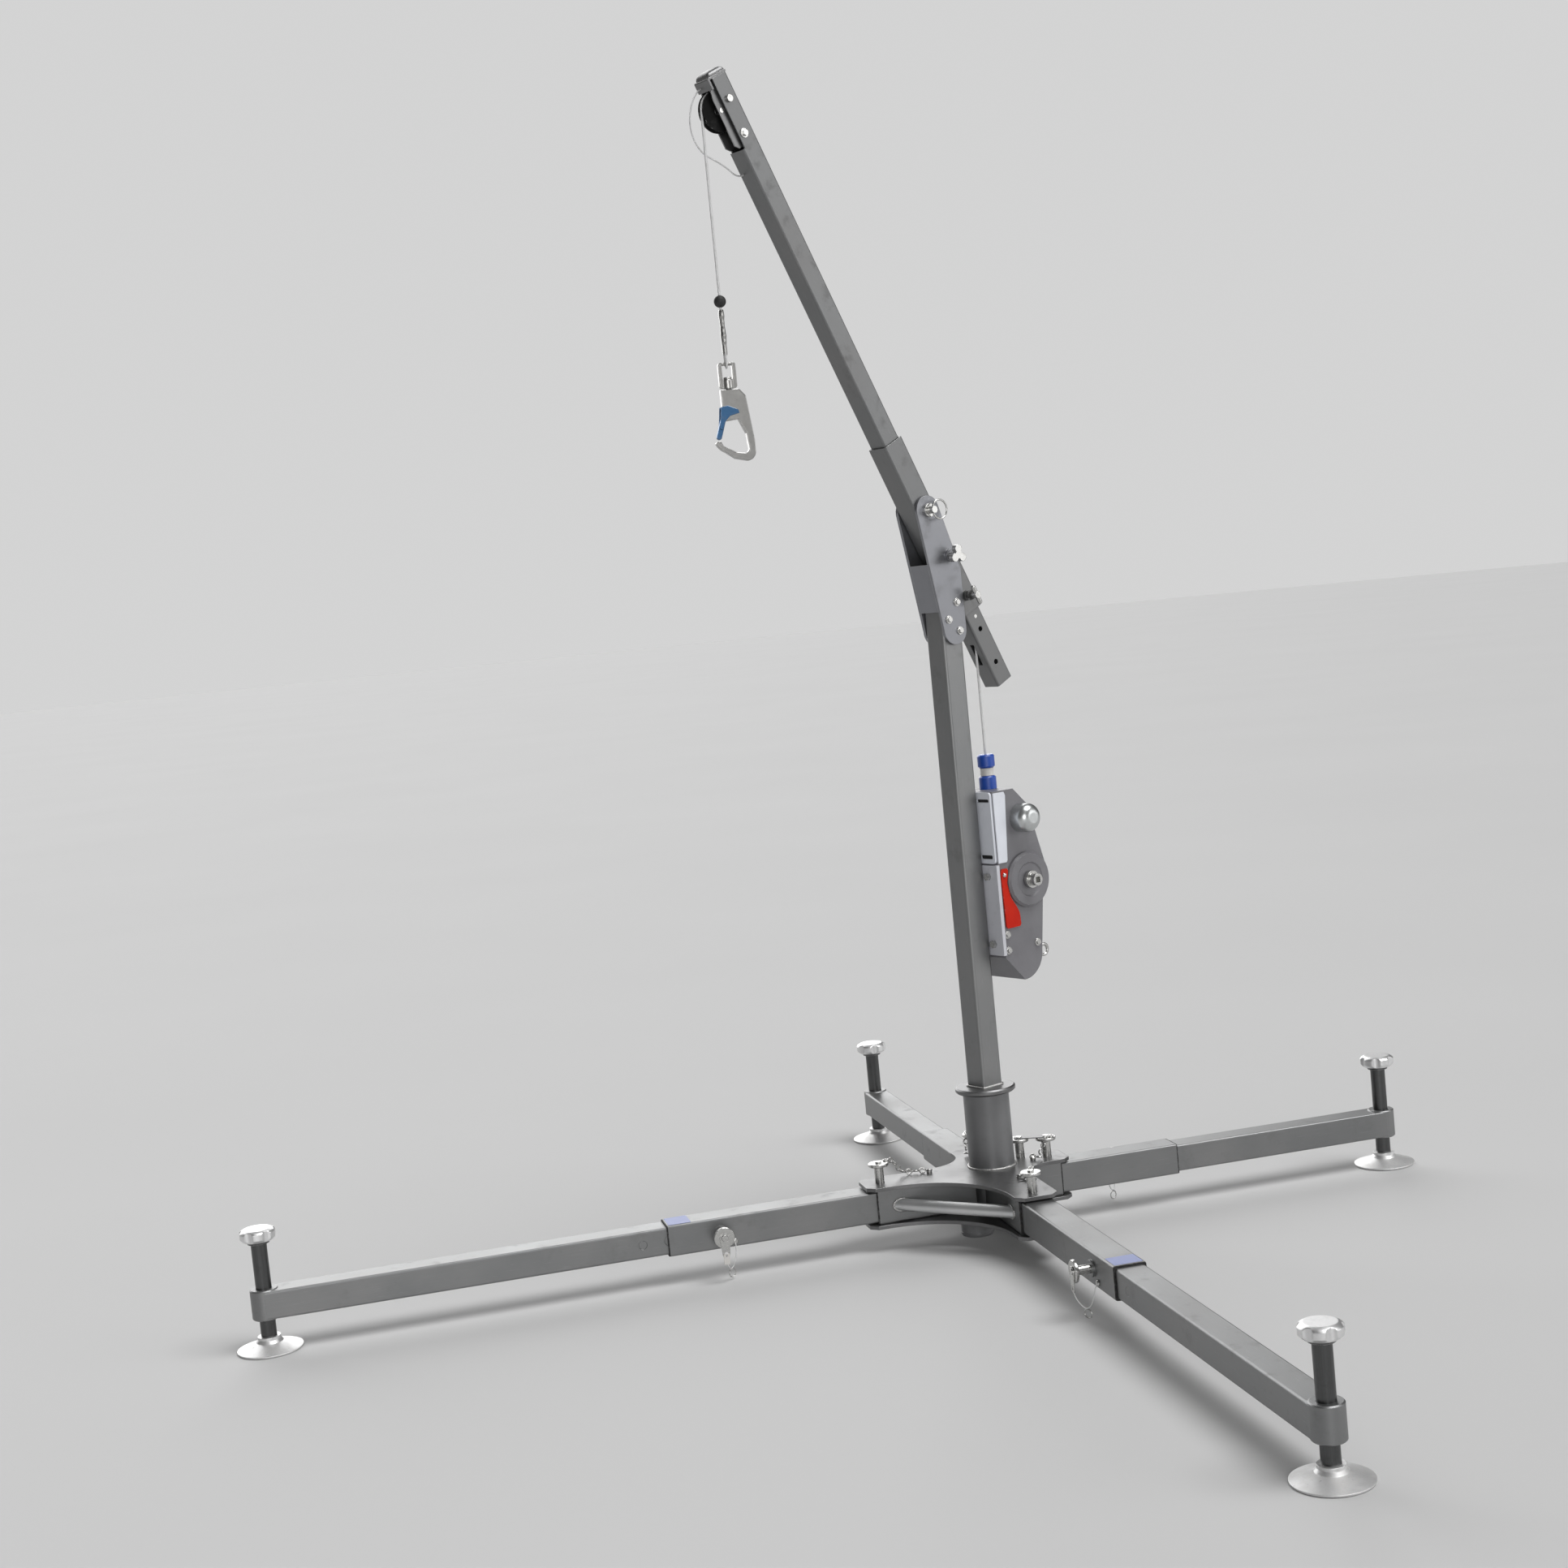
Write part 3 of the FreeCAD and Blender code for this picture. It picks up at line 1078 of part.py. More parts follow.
def hook_body():
    """Forged hook on its swivel stem, slotted for the gate."""
    top = HOOK_TOP_Z - SEAT_GAP
    head_z = EYE_TOP_Z - EYE_HEIGHT + EYE_FOOT + SEAT_GAP
    stem = fuse(cylinder(STEM_D, head_z - top + STEM_HEAD_T, V(0, 0, top)),
                cylinder(STEM_HEAD_D, STEM_HEAD_T, V(0, 0, head_z)))
    forging = plate(hook_outline(top), -HOOK_T / 2, HOOK_T / 2)
    pivot = gate_spot(GATE_PIVOT)
    side = GATE_T / 2 + SLIDE_GAP
    ahead, low = -2 * HOOK_NOSE, top - HOOK_WINDOW_DROP - HOOK_BAR
    slot = cylinder(2 * GATE_W, 2 * side, pivot - V(0, side, 0), Y_AXIS)
    relief = fuse(block((ahead, pivot.x), (-side, side), (low, pivot.z + GATE_W)),
                  block((ahead, pivot.x + 1.2 * GATE_W), (-side, side), (low, pivot.z)))
    pin = cylinder(GATE_PIN_D, HOOK_T, pivot - V(0, HOOK_T / 2, 0), Y_AXIS)
    return fuse(cut(fuse(stem, forging), slot, relief), pin)


def hook_gate():
    pivot, tip = gate_spot(GATE_PIVOT), gate_spot(GATE_TIP)
    along = (tip - pivot).normalize()
    ahead, aside = along * (GATE_W / 2), V(-along.z, 0, along.x) * (GATE_W / 2)
    outline = lines_and_arcs(pivot + aside, (pivot - ahead, pivot - aside),
                             tip - aside, (tip + ahead, tip + aside))
    lever = plate(outline, -GATE_T / 2, GATE_T / 2)
    bore = cylinder(GATE_PIN_D + 2 * RUN_GAP, 2 * GATE_T, pivot - V(0, GATE_T, 0), Y_AXIS)
    return lever.cut(bore)


def build():
    nodes = {"base_top_plate": base_top_plate(), "base_bottom_plate": base_bottom_plate(),
             "leg_sockets": leg_sockets(), "socket_pins": socket_pins(), "grip_bar": grip_bar(),
             "mast_sleeve": mast_sleeve(), "slew_bearings": slew_bearings(), "bearing_cup": bearing_cup()}
    for name, (azimuth, side, leg) in LEGS.items():
        nodes["leg_outer_" + name] = on_leg(leg_outer(side, leg), azimuth)
        nodes["leg_inner_" + name] = on_leg(leg_inner(side, leg), azimuth)
        nodes["foot_disc_" + name] = on_leg(foot_disc(leg), azimuth)
        nodes["jack_spindle_" + name] = on_leg(jack_spindle(leg), azimuth)
        nodes["extension_pin_" + name] = on_leg(extension_pin(side, leg), azimuth)
    mast_pieces = {"mast_spigot": mast_spigot, "mast_tube": mast_tube, "head_front_plate": head_front_plate,
                   "pivot_pins": pivot_pins, "pivot_ring": pivot_ring, "luff_pin": luff_pin,
                   "winch_bracket": winch_bracket, "bracket_bolts": bracket_bolts, "winch_case": winch_case,
                   "winch_cover": winch_cover, "rope_drum": rope_drum, "crank_hub": crank_hub,
                   "selector_knob": selector_knob, "rope_guide": rope_guide, "rope_run": rope_run,
                   "rope_fall": rope_fall}
    for name, make in mast_pieces.items():
        nodes[name] = on_mast(make())
    nodes["cheek_near"] = on_mast(cheek(-1))
    nodes["cheek_far"] = on_mast(cheek(1))
    boom_pieces = {"boom_holder": boom_holder, "boom_tube": boom_tube, "head_cap": head_cap,
                   "head_sheave": head_sheave, "tail_sheave": tail_sheave, "sheave_axles": sheave_axles,
                   "boom_plunger": boom_plunger, "rope_inner": rope_inner, "tether_wire": tether_wire}
    for name, make in boom_pieces.items():
        nodes[name] = on_boom(make())
    hook_pieces = {"stopper_ball": stopper_ball, "rope_ferrule": rope_ferrule, "swivel_eye": swivel_eye,
                   "hook_body": hook_body, "hook_gate": hook_gate}
    for name, make in hook_pieces.items():
        nodes[name] = at_fall(make())
    return nodes


os.makedirs("parts", exist_ok=True)
for name, shape in build().items():
    shape.exportStep("parts/" + name + ".step")
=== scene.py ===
from collections import namedtuple
from math import atan2, cos, sin, pi, radians, sqrt

import bmesh
import bpy
from mathutils import Matrix, Vector


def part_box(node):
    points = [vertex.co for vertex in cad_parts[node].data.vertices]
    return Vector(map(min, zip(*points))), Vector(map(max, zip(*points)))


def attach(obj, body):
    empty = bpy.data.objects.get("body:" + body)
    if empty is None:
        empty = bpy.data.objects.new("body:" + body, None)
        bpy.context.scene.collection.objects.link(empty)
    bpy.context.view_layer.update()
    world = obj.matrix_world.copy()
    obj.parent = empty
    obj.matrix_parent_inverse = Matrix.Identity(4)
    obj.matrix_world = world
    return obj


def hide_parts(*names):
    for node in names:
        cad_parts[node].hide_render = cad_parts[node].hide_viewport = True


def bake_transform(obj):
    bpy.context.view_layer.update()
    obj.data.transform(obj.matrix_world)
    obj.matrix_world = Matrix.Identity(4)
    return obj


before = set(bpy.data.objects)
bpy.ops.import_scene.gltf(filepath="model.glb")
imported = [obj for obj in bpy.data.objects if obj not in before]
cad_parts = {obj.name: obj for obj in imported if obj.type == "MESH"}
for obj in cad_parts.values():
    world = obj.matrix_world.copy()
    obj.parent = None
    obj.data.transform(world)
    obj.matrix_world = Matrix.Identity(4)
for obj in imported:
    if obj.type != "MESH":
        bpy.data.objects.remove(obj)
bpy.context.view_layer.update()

# Sizes in metres that repeat those of the solids
SLEW = radians(24.0)
LEAN = radians(26.35)
PIVOT = Vector((-0.040, 0, 1.414))
LEG_AXIS_Z = 0.087
LEG_OUTER = 0.060
LEG_INNER = 0.0524
PIN_SETBACK = 0.100
PIN_HEAD_FACE = 0.066        # outer face of an extension pin's head, from the leg's axis
PIN_NUB_R = 0.006
PLATE_TOP = 0.1277
LOWER_UNDER = 0.0463
SOCKET_OUTER = 0.0674
MOUTH_PAST_PIN = 0.015
LOCK_PIN = (0.066, 0.020)
SOCKET_PIN_HEAD = 0.1637     # middle of a socket pin's head above the floor
PIN_HEAD_R = 0.020
GRIP_LINE = 0.2337           # the grip bar runs where x + y is minus this
GRIP_R = 0.012
SLEEVE_R = 0.045
CUP_R = 0.039
MAST_FOOT = 0.2877
MAST_HALF = 0.025
CHEEK_FACE = 0.031
BOOM_HALF = 0.0207
BOOM_HEAD = 0.884
HEAD_TOP = 0.888
HEAD_MOUTH = 0.133
HOOK_TOP = 1.656
HOOK_HALF_T = 0.0065
PLUNGER_AT = -0.188
PLUNGER_BOSS_FACE = 0.0327
ROPE_D = 0.005
ROPE_X = 0.079
DRUM_Z = 0.683
INNER_ROPE = 0.0145          # rope inside the boom, above its axis
TAIL_SHEAVE_Z = -0.238
HEAD_SHEAVE = (-0.0205, 0.828)
HEAD_SHEAVE_R = 0.035
WINCH_FRONT = 0.033
WINCH_HALF = 0.058
WINCH_TOP = 0.864
BRACKET_TOP = 0.721
BELLY = (0.079, 0.540, 0.052)
GUIDE_NECK = (0.890, 0.906, 0.012)
KNOB_FOOT = 0.205
FERRULE = (1.717, 1.797)
EYE_BAR_Z = 1.7012
WIRE_D = 0.003
WIRE_Y = 0.0095              # the tether's plane, from the boom's middle

# Legs by name: direction, side of the extension pin, end of the outer tube, socket pin, holes closed by plugs
Leg = namedtuple("Leg", "azimuth side outer_end socket_pin plugs")
LEGS = {"left": Leg(180, 1, 0.660, 0.231, (0.05, 0.10, 0.15)),
        "front": Leg(270, -1, 0.703, 0.231, (0.05, 0.10, 0.15)),
        "right": Leg(0, 1, 0.377, 0.115, (0.05,)),
        "back": Leg(90, -1, 0.377, 0.115, (0.05,))}

# Details that only the looks have
EDGE_ROUND = 0.0014          # rounding of edges in the shading
SHARP_ANGLE = radians(38)
BEAD_W = 0.0055
BEAD_PITCH = 0.0028
BEAD_OUT = 0.001             # a bead's middle, from the corner that it fills
STRANDS = 6
STRAND_LAY = 0.032           # length in which a strand goes once round the rope
WIRE_LAY = 0.020
EYE_ROPE_D = 0.0042
LOOP_R = 0.0055
CHAIN_PITCH = 0.0125
CHAIN_WIRE = 0.0034
CHAIN_LIE = 0.0058           # a lying chain's middle above the plate
LANYARD_D = 0.0018
LANYARD = ((0.026, -0.021, 0.0335), (0.026, -0.026, 0.037), (0.024, -0.044, 0.040), (0.018, -0.060, 0.044),
           (0.010, -0.066, 0.050), (0.004, -0.058, 0.058), (0.001, -0.046, 0.0645), (0.0, -0.036, 0.0668),
           (0.0, -0.0315, 0.0672))
LANYARD_SCREW = (0.026, -0.019, 0.030)
LANYARD_RING = (0.012, -0.0735, 0.048)
SEAL_CORNER = 0.004
SEAL_FIT = 0.0003            # gap on each side between a seal and the outer leg
WIPER_FIT = 0.0004
WIPER_T = 0.0022
SEAL_T = 0.0024
TAB_R = 0.0095
TAB_END_R = 0.0075
TAB_END = (0.0, -0.030)
TAB_HOLE_R = 0.0038
TAB_T = 0.0018
TAG_T = 0.0008
PLUG_R = 0.0081
UNDER_CUP = (-0.060, -0.060)
STRAP_R = 0.0105
STRAP_T = 0.0016
CHEEK_BOLTS = ((0.014, 1.180), (-0.012, 1.203), (0.012, 1.235))
WINCH_BOLTS = ((0.0415, 0.583), (0.0415, 0.552), (0.120, 0.556))
COVER_T = 0.0055
SLOT_W = 0.034
PANEL_T = 0.0030
GATE_SIDE_T = 0.0012
CROWN = ((0.0, 0.0), (0.003, 0.0006), (0.006, 0.0022), (0.0082, 0.0050), (0.0094, 0.0090), (0.0097, 0.0130))
THREAD_R, THREAD_ROOT, THREAD_PITCH, THREAD_BORE, THREAD_END = 0.0098, 0.0090, 0.0012, 0.0056, 0.0080

# Studio and camera
FLOOR_R = 60.0
CAMERA_AT = (-1.34506, -4.23411, 1.29224)
CAMERA_PITCH, CAMERA_ROLL, CAMERA_YAW = -0.0846711, -0.0966433, 0.2319363
FOCAL_SHARE = 2822.0 / 1932.0    # focal length over the picture's width
SENSOR_W = 36.0              # in millimetres

# Frames of the mast, the boom and the legs
MAST = Matrix.Rotation(SLEW, 4, "Z")
BOOM = MAST @ Matrix.Translation(PIVOT) @ Matrix.Rotation(-LEAN, 4, "Y")
LEG = {name: Matrix.Rotation(radians(facts.azimuth), 4, "Z") for name, facts in LEGS.items()}

# Frames for drawn outlines: where drawn x and y go, and the way out
NEAR_SIDE = Matrix(((1, 0, 0, 0), (0, 0, -1, 0), (0, 1, 0, 0), (0, 0, 0, 1)))         # X, Z, out along -Y
FAR_SIDE = Matrix(((1, 0, 0, 0), (0, 0, 1, 0), (0, -1, 0, 0), (0, 0, 0, 1)))          # X, -Z, out along Y
FRONT_SIDE = Matrix(((0, 0, -1, 0), (-1, 0, 0, 0), (0, 1, 0, 0), (0, 0, 0, 1)))       # -Y, Z, out along -X
LEG_END = Matrix(((0, 0, 1, 0), (1, 0, 0, 0), (0, 1, 0, LEG_AXIS_Z), (0, 0, 0, 1)))   # Y, Z, out along X


class Value:
    """A node's output; arithmetic on it adds Math nodes to its tree."""

    def __init__(self, nodes, socket):
        self.nodes, self.socket = nodes, socket

    def math(self, operation, first, second):
        return self.nodes.add("ShaderNodeMath", {"operation": operation}, {0: first, 1: second})

    def __add__(self, other):
        return self.math("ADD", self, other)

    def __sub__(self, other):
        return self.math("SUBTRACT", self, other)

    def __rsub__(self, other):
        return self.math("SUBTRACT", other, self)

    def __mul__(self, other):
        return self.math("MULTIPLY", self, other)

    __radd__ = __add__

    def between(self, low, high):
        """0 at low and 1 at high, held there outside."""
        return self.nodes.add("ShaderNodeMapRange", {}, {0: self, 1: low, 2: high})


class Nodes:
    """A node tree under construction."""

    def __init__(self, tree):
        self.tree = tree

    def add(self, kind, settings, sockets, out=0):
        node = self.tree.nodes.new(kind)
        for key, value in settings.items():
            setattr(node, key, value)
        for key, value in sockets.items():
            if isinstance(value, Value):
                self.tree.links.new(value.socket, node.inputs[key])
            else:
                node.inputs[key].default_value = value
        return Value(self, node.outputs[out])


class Finish(Nodes):
    """A material: masks over the surface that feed one Principled shader."""

    def __init__(self, name, rounding=EDGE_ROUND, **constants):
        self.material = bpy.data.materials.new(name)
        self.material.use_nodes = True
        super().__init__(self.material.node_tree)
        self.shader = self.tree.nodes["Principled BSDF"]
        for key, value in constants.items():
            self.shader.inputs[key.replace("_", " ")].default_value = value
        self.place = self.add("ShaderNodeTexCoord", {}, {}, "Object")
        self.rounded = rounding and self.add("ShaderNodeBevel", {"samples": 4}, {"Radius": rounding})

    def noise(self, scale, detail=3.0, place=None, roughness=0.55):
        return self.add("ShaderNodeTexNoise", {}, {"Vector": place or self.place, "Scale": scale,
                                                   "Detail": detail, "Roughness": roughness})

    def along(self, axis, length, width):
        """Coordinates stretched along an axis, for drawn and rolled grain."""
        turn = Vector((1, 0, 0)).rotation_difference(axis).to_euler()
        return self.add("ShaderNodeMapping", {"vector_type": "TEXTURE"},
                        {"Vector": self.place, "Rotation": turn, "Scale": (length, width, width)})

    def edge(self, gain):
        """Mask of the edges, where wear shows."""
        face = self.add("ShaderNodeNewGeometry", {}, {}, "Normal")
        same = self.add("ShaderNodeVectorMath", {"operation": "DOT_PRODUCT"}, {0: self.rounded, 1: face},
                        "Value")
        return ((1 - same) * gain).between(0.0, 1.0)

    def mix(self, share, first, second):
        return self.add("ShaderNodeMix", {"data_type": "RGBA"}, {0: share, 6: first, 7: second}, 2)

    def done(self, colour, roughness, height, depth, strength=1.0):
        bump = self.add("ShaderNodeBump", {}, {"Strength": strength, "Distance": depth, "Height": height,
                                               "Normal": self.rounded})
        for key, value in (("Base Color", colour), ("Roughness", roughness), ("Normal", bump)):
            self.tree.links.new(value.socket, self.shader.inputs[key])
        return self.material


def grey(level, tint=(1.0, 1.0, 1.0)):
    return tuple(level * t for t in tint) + (1.0,)


# Finishes
def drawn_aluminium(name, axis, level):
    """Drawn tube: grain along its length, handling marks, bright rubbed edges."""
    f = Finish(name, Metallic=0.9)
    grain = f.noise(1.0, 3.0, f.along(axis, 0.22, 0.0016))
    marks = f.noise(1.0, 2.0, f.along(axis, 0.035, 0.0011)).between(0.66, 0.76)
    cloud = f.noise(7.0, 4.0).between(0.35, 0.7)
    grime = f.noise(21.0, 5.0, None, 0.7).between(0.56, 0.78)
    edge = f.edge(7.0)
    colour = f.mix(cloud, grey(level * 0.93, (0.98, 1.0, 1.01)), grey(level * 1.07))
    colour = f.mix(grain * 0.30, colour, grey(level * 0.80))
    colour = f.mix(grime * 0.28, colour, grey(level * 0.62, (1.0, 0.98, 0.94)))
    colour = f.mix(marks * 0.45, colour, grey(level * 1.35))
    colour = f.mix(edge * 0.5, colour, grey(min(level * 1.5, 0.9)))
    rough = 0.40 + cloud * 0.07 + grime * 0.14 - marks * 0.10 - edge * 0.08
    return f.done(colour, rough, grain * 0.8 - marks * 0.5 + grime * 0.2, 0.00016, 0.6)


def cut_plate(name, level, tint=(1.0, 1.0, 1.01), metallic=0.9):
    """Cut and welded plate: even fine grain, heat stain and rubbed edges."""
    f = Finish(name, Metallic=metallic)
    grain = f.noise(420.0, 2.0)
    cloud = f.noise(11.0, 4.0).between(0.35, 0.7)
    stain = f.noise(28.0, 5.0, None, 0.7).between(0.55, 0.8)
    scuffs = f.noise(1.0, 2.0, f.along(Vector((0.8, 0.6, 0)), 0.03, 0.0012)).between(0.68, 0.76)
    edge = f.edge(6.0)
    colour = f.mix(cloud, grey(level * 0.92, tint), grey(level * 1.08, tint))
    colour = f.mix(stain * 0.30, colour, grey(level * 0.65, (1.0, 0.98, 0.95)))
    colour = f.mix(scuffs * 0.35, colour, grey(level * 1.3))
    colour = f.mix(edge * 0.6, colour, grey(min(level * 1.6, 0.92)))
    rough = 0.36 + cloud * 0.10 + stain * 0.12 - edge * 0.08
    return f.done(colour, rough, grain * 0.5 + stain * 0.3 - scuffs * 0.5, 0.00015, 0.6)


def zinc_plate(name, level, tint=(1.0, 0.995, 0.97), roughness=0.24, rounding=EDGE_ROUND):
    """Bright zinc on turned steel: faint spangle, small dull spots, rubbed edges."""
    f = Finish(name, rounding, Metallic=1.0)
    spangle = f.noise(160.0, 2.0)
    dull = f.noise(60.0, 5.0, None, 0.7).between(0.55, 0.75)
    edge = f.edge(6.0)
    colour = f.mix(spangle, grey(level * 0.88, tint), grey(level * 1.06, tint))
    colour = f.mix(dull * 0.35, colour, grey(level * 0.6, (1.0, 0.98, 0.94)))
    colour = f.mix(edge * 0.5, colour, grey(min(level * 1.25, 0.95)))
    rough = roughness + spangle * 0.06 + dull * 0.16 - edge * 0.05
    return f.done(colour, rough, spangle * 0.3 + dull * 0.5, 0.00006, 0.4)


def spindle_finish(name, level, knob_level, knob_from):
    """Dark turned spindle below, pale tumbled star knob above a given height."""
    f = Finish(name, 0.003, Metallic=0.95)
    height = f.add("ShaderNodeSeparateXYZ", {}, {0: f.place}, "Z")
    knob = height.between(knob_from - 0.001, knob_from)
    draw = f.noise(1.0, 3.0, f.along(Vector((0, 0, 1)), 0.05, 0.0014))
    skin = f.noise(260.0, 3.0)
    wear = f.noise(45.0, 4.0, None, 0.7).between(0.5, 0.75)
    edge = f.edge(5.0)
    steel = f.mix(draw, grey(level * 0.8), grey(level * 1.2, (0.98, 1.0, 1.01)))
    pale = f.mix(skin, grey(knob_level * 0.9), grey(knob_level * 1.05))
    steel = f.mix(wear * 0.4, steel, grey(level * 0.6))
    pale = f.mix(wear * 0.3, pale, grey(knob_level * 0.7))
    colour = f.mix(knob, steel, pale)
    colour = f.mix(edge * 0.5, colour, grey(0.85))
    rough = 0.30 + wear * 0.12 + knob * 0.08 - edge * 0.05
    return f.done(colour, rough, draw * 0.4 + skin * knob, 0.0001, 0.5)


def cast_foot(name, level):
    """Cast foot, turned on its cone: pitted skin, dust in the low parts, bright rim."""
    f = Finish(name, Metallic=0.75)
    skin = f.noise(300.0, 3.0)
    pits = f.noise(110.0, 2.0).between(0.66, 0.78)
    dust = f.noise(30.0, 5.0, None, 0.7).between(0.45, 0.75)
    edge = f.edge(5.0)
    colour = f.mix(skin, grey(level * 0.92), grey(level * 1.06))
    colour = f.mix(dust * 0.35, colour, grey(level * 0.72, (1.0, 0.96, 0.9)))
    colour = f.mix(pits * 0.5, colour, grey(level * 0.5))
    colour = f.mix(edge * 0.5, colour, grey(min(level * 1.3, 0.9)))
    rough = 0.42 + dust * 0.16 - edge * 0.08
    return f.done(colour, rough, skin * 0.5 - pits, 0.0002, 0.6)


def enamel(name, colour_low, colour_high, roughness, coat, shine=0.5):
    """Sprayed or moulded skin: orange-peel, faint clouds, chips to the metal on the edges."""
    f = Finish(name, Coat_Weight=coat, Coat_Roughness=0.25, Specular_IOR_Level=shine)
    peel = f.noise(240.0, 2.0)
    cloud = f.noise(13.0, 4.0).between(0.3, 0.7)
    grime = f.noise(34.0, 5.0, None, 0.7).between(0.58, 0.8)
    chips = f.noise(170.0, 3.0).between(0.5, 0.62) * f.edge(8.0)
    colour = f.mix(cloud, colour_low, colour_high)
    colour = f.mix(grime * 0.22, colour, grey(0.10))
    colour = f.mix(chips * 0.6, colour, grey(0.55))
    rough = roughness + cloud * 0.06 + grime * 0.18
    return f.done(colour, rough, peel * 0.6 - chips, 0.00012, 0.5)


def wire_rope(name, level):
    """Galvanised wires: fine twist along each strand, grease in the lays."""
    f = Finish(name, Metallic=0.4)
    wires = f.add("ShaderNodeTexWave", {"bands_direction": "DIAGONAL"}, {"Vector": f.place, "Scale": 900.0,
                                                                         "Distortion": 2.0, "Detail": 1.0})
    grease = f.noise(90.0, 4.0).between(0.5, 0.75)
    colour = f.mix(wires, grey(level * 0.75), grey(level * 1.1))
    colour = f.mix(grease * 0.35, colour, grey(level * 0.45, (1.0, 0.97, 0.9)))
    return f.done(colour, 0.38 + grease * 0.2, wires, 0.0001, 0.6)


BOOM_AXIS = (BOOM.to_3x3() @ Vector((0, 0, 1))).normalized()
tube_x = drawn_aluminium("leg_tube_along_x", Vector((1, 0, 0)), 0.26)
tube_y = drawn_aluminium("leg_tube_along_y", Vector((0, 1, 0)), 0.26)
tube_z = drawn_aluminium("mast_tube_finish", Vector((0, 0, 1)), 0.26)
tube_boom = drawn_aluminium("boom_tube_finish", BOOM_AXIS, 0.20)
hub_plate = cut_plate("hub_plate_finish", 0.20)
head_plate = cut_plate("head_cap_finish", 0.21)
sleeve_metal = cut_plate("sleeve_finish", 0.19, (0.99, 1.0, 1.02), 0.4)
cheek_plate = cut_plate("cheek_finish", 0.27, (0.97, 0.985, 1.05))
zinc = zinc_plate("bright_zinc", 0.56)
spindle_steel = spindle_finish("spindle_steel", 0.10, 0.80, KNOB_FOOT)
foot_metal = cast_foot("foot_casting", 0.74)
winch_coat = enamel("winch_coat", grey(0.15, (1.0, 0.98, 1.06)), grey(0.19, (1.0, 0.99, 1.05)), 0.42, 0.15)
cover_coat = enamel("winch_cover_coat", grey(0.72, (0.95, 0.98, 1.06)), grey(0.80, (0.95, 0.98, 1.05)),
                    0.40, 0.15)
bracket_coat = enamel("bracket_coat", grey(0.55, (0.97, 0.98, 1.05)), grey(0.62, (0.97, 0.98, 1.05)),
                      0.42, 0.15)
bearing_plastic = enamel("bearing_plastic", grey(0.018), grey(0.03), 0.5, 0.0)
# Black rubber of the seals; the same black also paints the shade in the winch cover's slots
seal_rubber = enamel("seal_rubber", grey(0.012), grey(0.022), 0.65, 0.0)
blue_moulding = enamel("blue_moulding", (0.008, 0.055, 0.34, 1), (0.014, 0.085, 0.46, 1), 0.32, 0.3)
blue_mark = enamel("blue_mark", (0.17, 0.21, 0.44, 1), (0.22, 0.26, 0.50, 1), 0.45, 0.1)
sheave_black = enamel("sheave_black", grey(0.003), grey(0.006), 0.6, 0.0, 0.12)
white_moulding = enamel("white_moulding", grey(0.62, (1, 0.97, 0.92)), grey(0.70, (1, 0.98, 0.94)), 0.42, 0.1)
orange_moulding = enamel("orange_moulding", (0.50, 0.012, 0.003, 1), (0.60, 0.022, 0.005, 1), 0.45, 0.0, 0.15)
blue_anodised = zinc_plate("blue_anodised", 0.30, (0.22, 0.52, 1.0), 0.30)
rope_wire = wire_rope("rope_wire", 0.85)
ball_rubber = enamel("ball_rubber", grey(0.010), grey(0.018), 0.55, 0.0)
forged_steel = zinc_plate("forged_steel", 0.40, (1.0, 0.99, 0.96), 0.26, 0.003)
weld_metal = zinc_plate("weld_metal", 0.50, (1.0, 0.99, 0.97), 0.34)

FINISH_OF = {
    hub_plate: ("base_top_plate", "base_bottom_plate", "mast_spigot"),
    sleeve_metal: ("mast_sleeve", "bearing_cup"),
    cheek_plate: ("cheek_near", "cheek_far", "head_front_plate"),
    bracket_coat: ("winch_bracket",),
    tube_z: ("mast_tube",),
    tube_boom: ("boom_tube", "boom_holder"),
    head_plate: ("head_cap",),
    tube_x: ("leg_outer_left", "leg_inner_left", "leg_outer_right", "leg_inner_right", "leg_sockets"),
    tube_y: ("leg_outer_front", "leg_inner_front", "leg_outer_back", "leg_inner_back"),
    # Grip bar: the drawn-aluminium finish at almost three times the legs' level, a painted highlight along
    # the bar
    drawn_aluminium("grip_bar_finish", Vector((1, -1, 0)), 0.72): ("grip_bar",),
    zinc: ("socket_pins", "pivot_pins", "pivot_ring", "luff_pin", "boom_plunger", "bracket_bolts",
           "crank_hub", "rope_drum", "sheave_axles") + tuple("extension_pin_" + leg for leg in LEGS),
    spindle_steel: tuple("jack_spindle_" + leg for leg in LEGS),
    foot_metal: tuple("foot_disc_" + leg for leg in LEGS),
    winch_coat: ("winch_case", "winch_cover"),
    zinc_plate("selector_metal", 0.62, (0.97, 1.0, 1.0), 0.30): ("selector_knob",),
    bearing_plastic: ("slew_bearings", "tail_sheave"),
    sheave_black: ("head_sheave",),
    blue_moulding: ("rope_guide",),
    blue_anodised: ("hook_gate",),
    ball_rubber: ("stopper_ball",),
    forged_steel: ("swivel_eye", "hook_body"),
    rope_wire: ("rope_run", "rope_inner", "rope_fall", "tether_wire", "rope_ferrule"),
}
for finish, names in FINISH_OF.items():
    for name in names:
        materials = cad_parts[name].data.materials
        materials.clear()
        materials.append(finish)


# Mesh building
def piece(name, mesh, finish, body=None):
    """Object of the part from a bmesh or a mesh, riding on a body."""
    if isinstance(mesh, bmesh.types.BMesh):
        made = bpy.data.meshes.new(name)
        mesh.to_mesh(made)
        mesh.free()
        mesh = made
    mesh.materials.clear()
    mesh.materials.append(finish)
    mesh.polygons.foreach_set("use_smooth", [True] * len(mesh.polygons))
    mesh.set_sharp_from_angle(angle=SHARP_ANGLE)
    thing = bpy.data.objects.new(name, mesh)
    bpy.context.scene.collection.objects.link(thing)
    if body:
        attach(thing, body)
    return thing


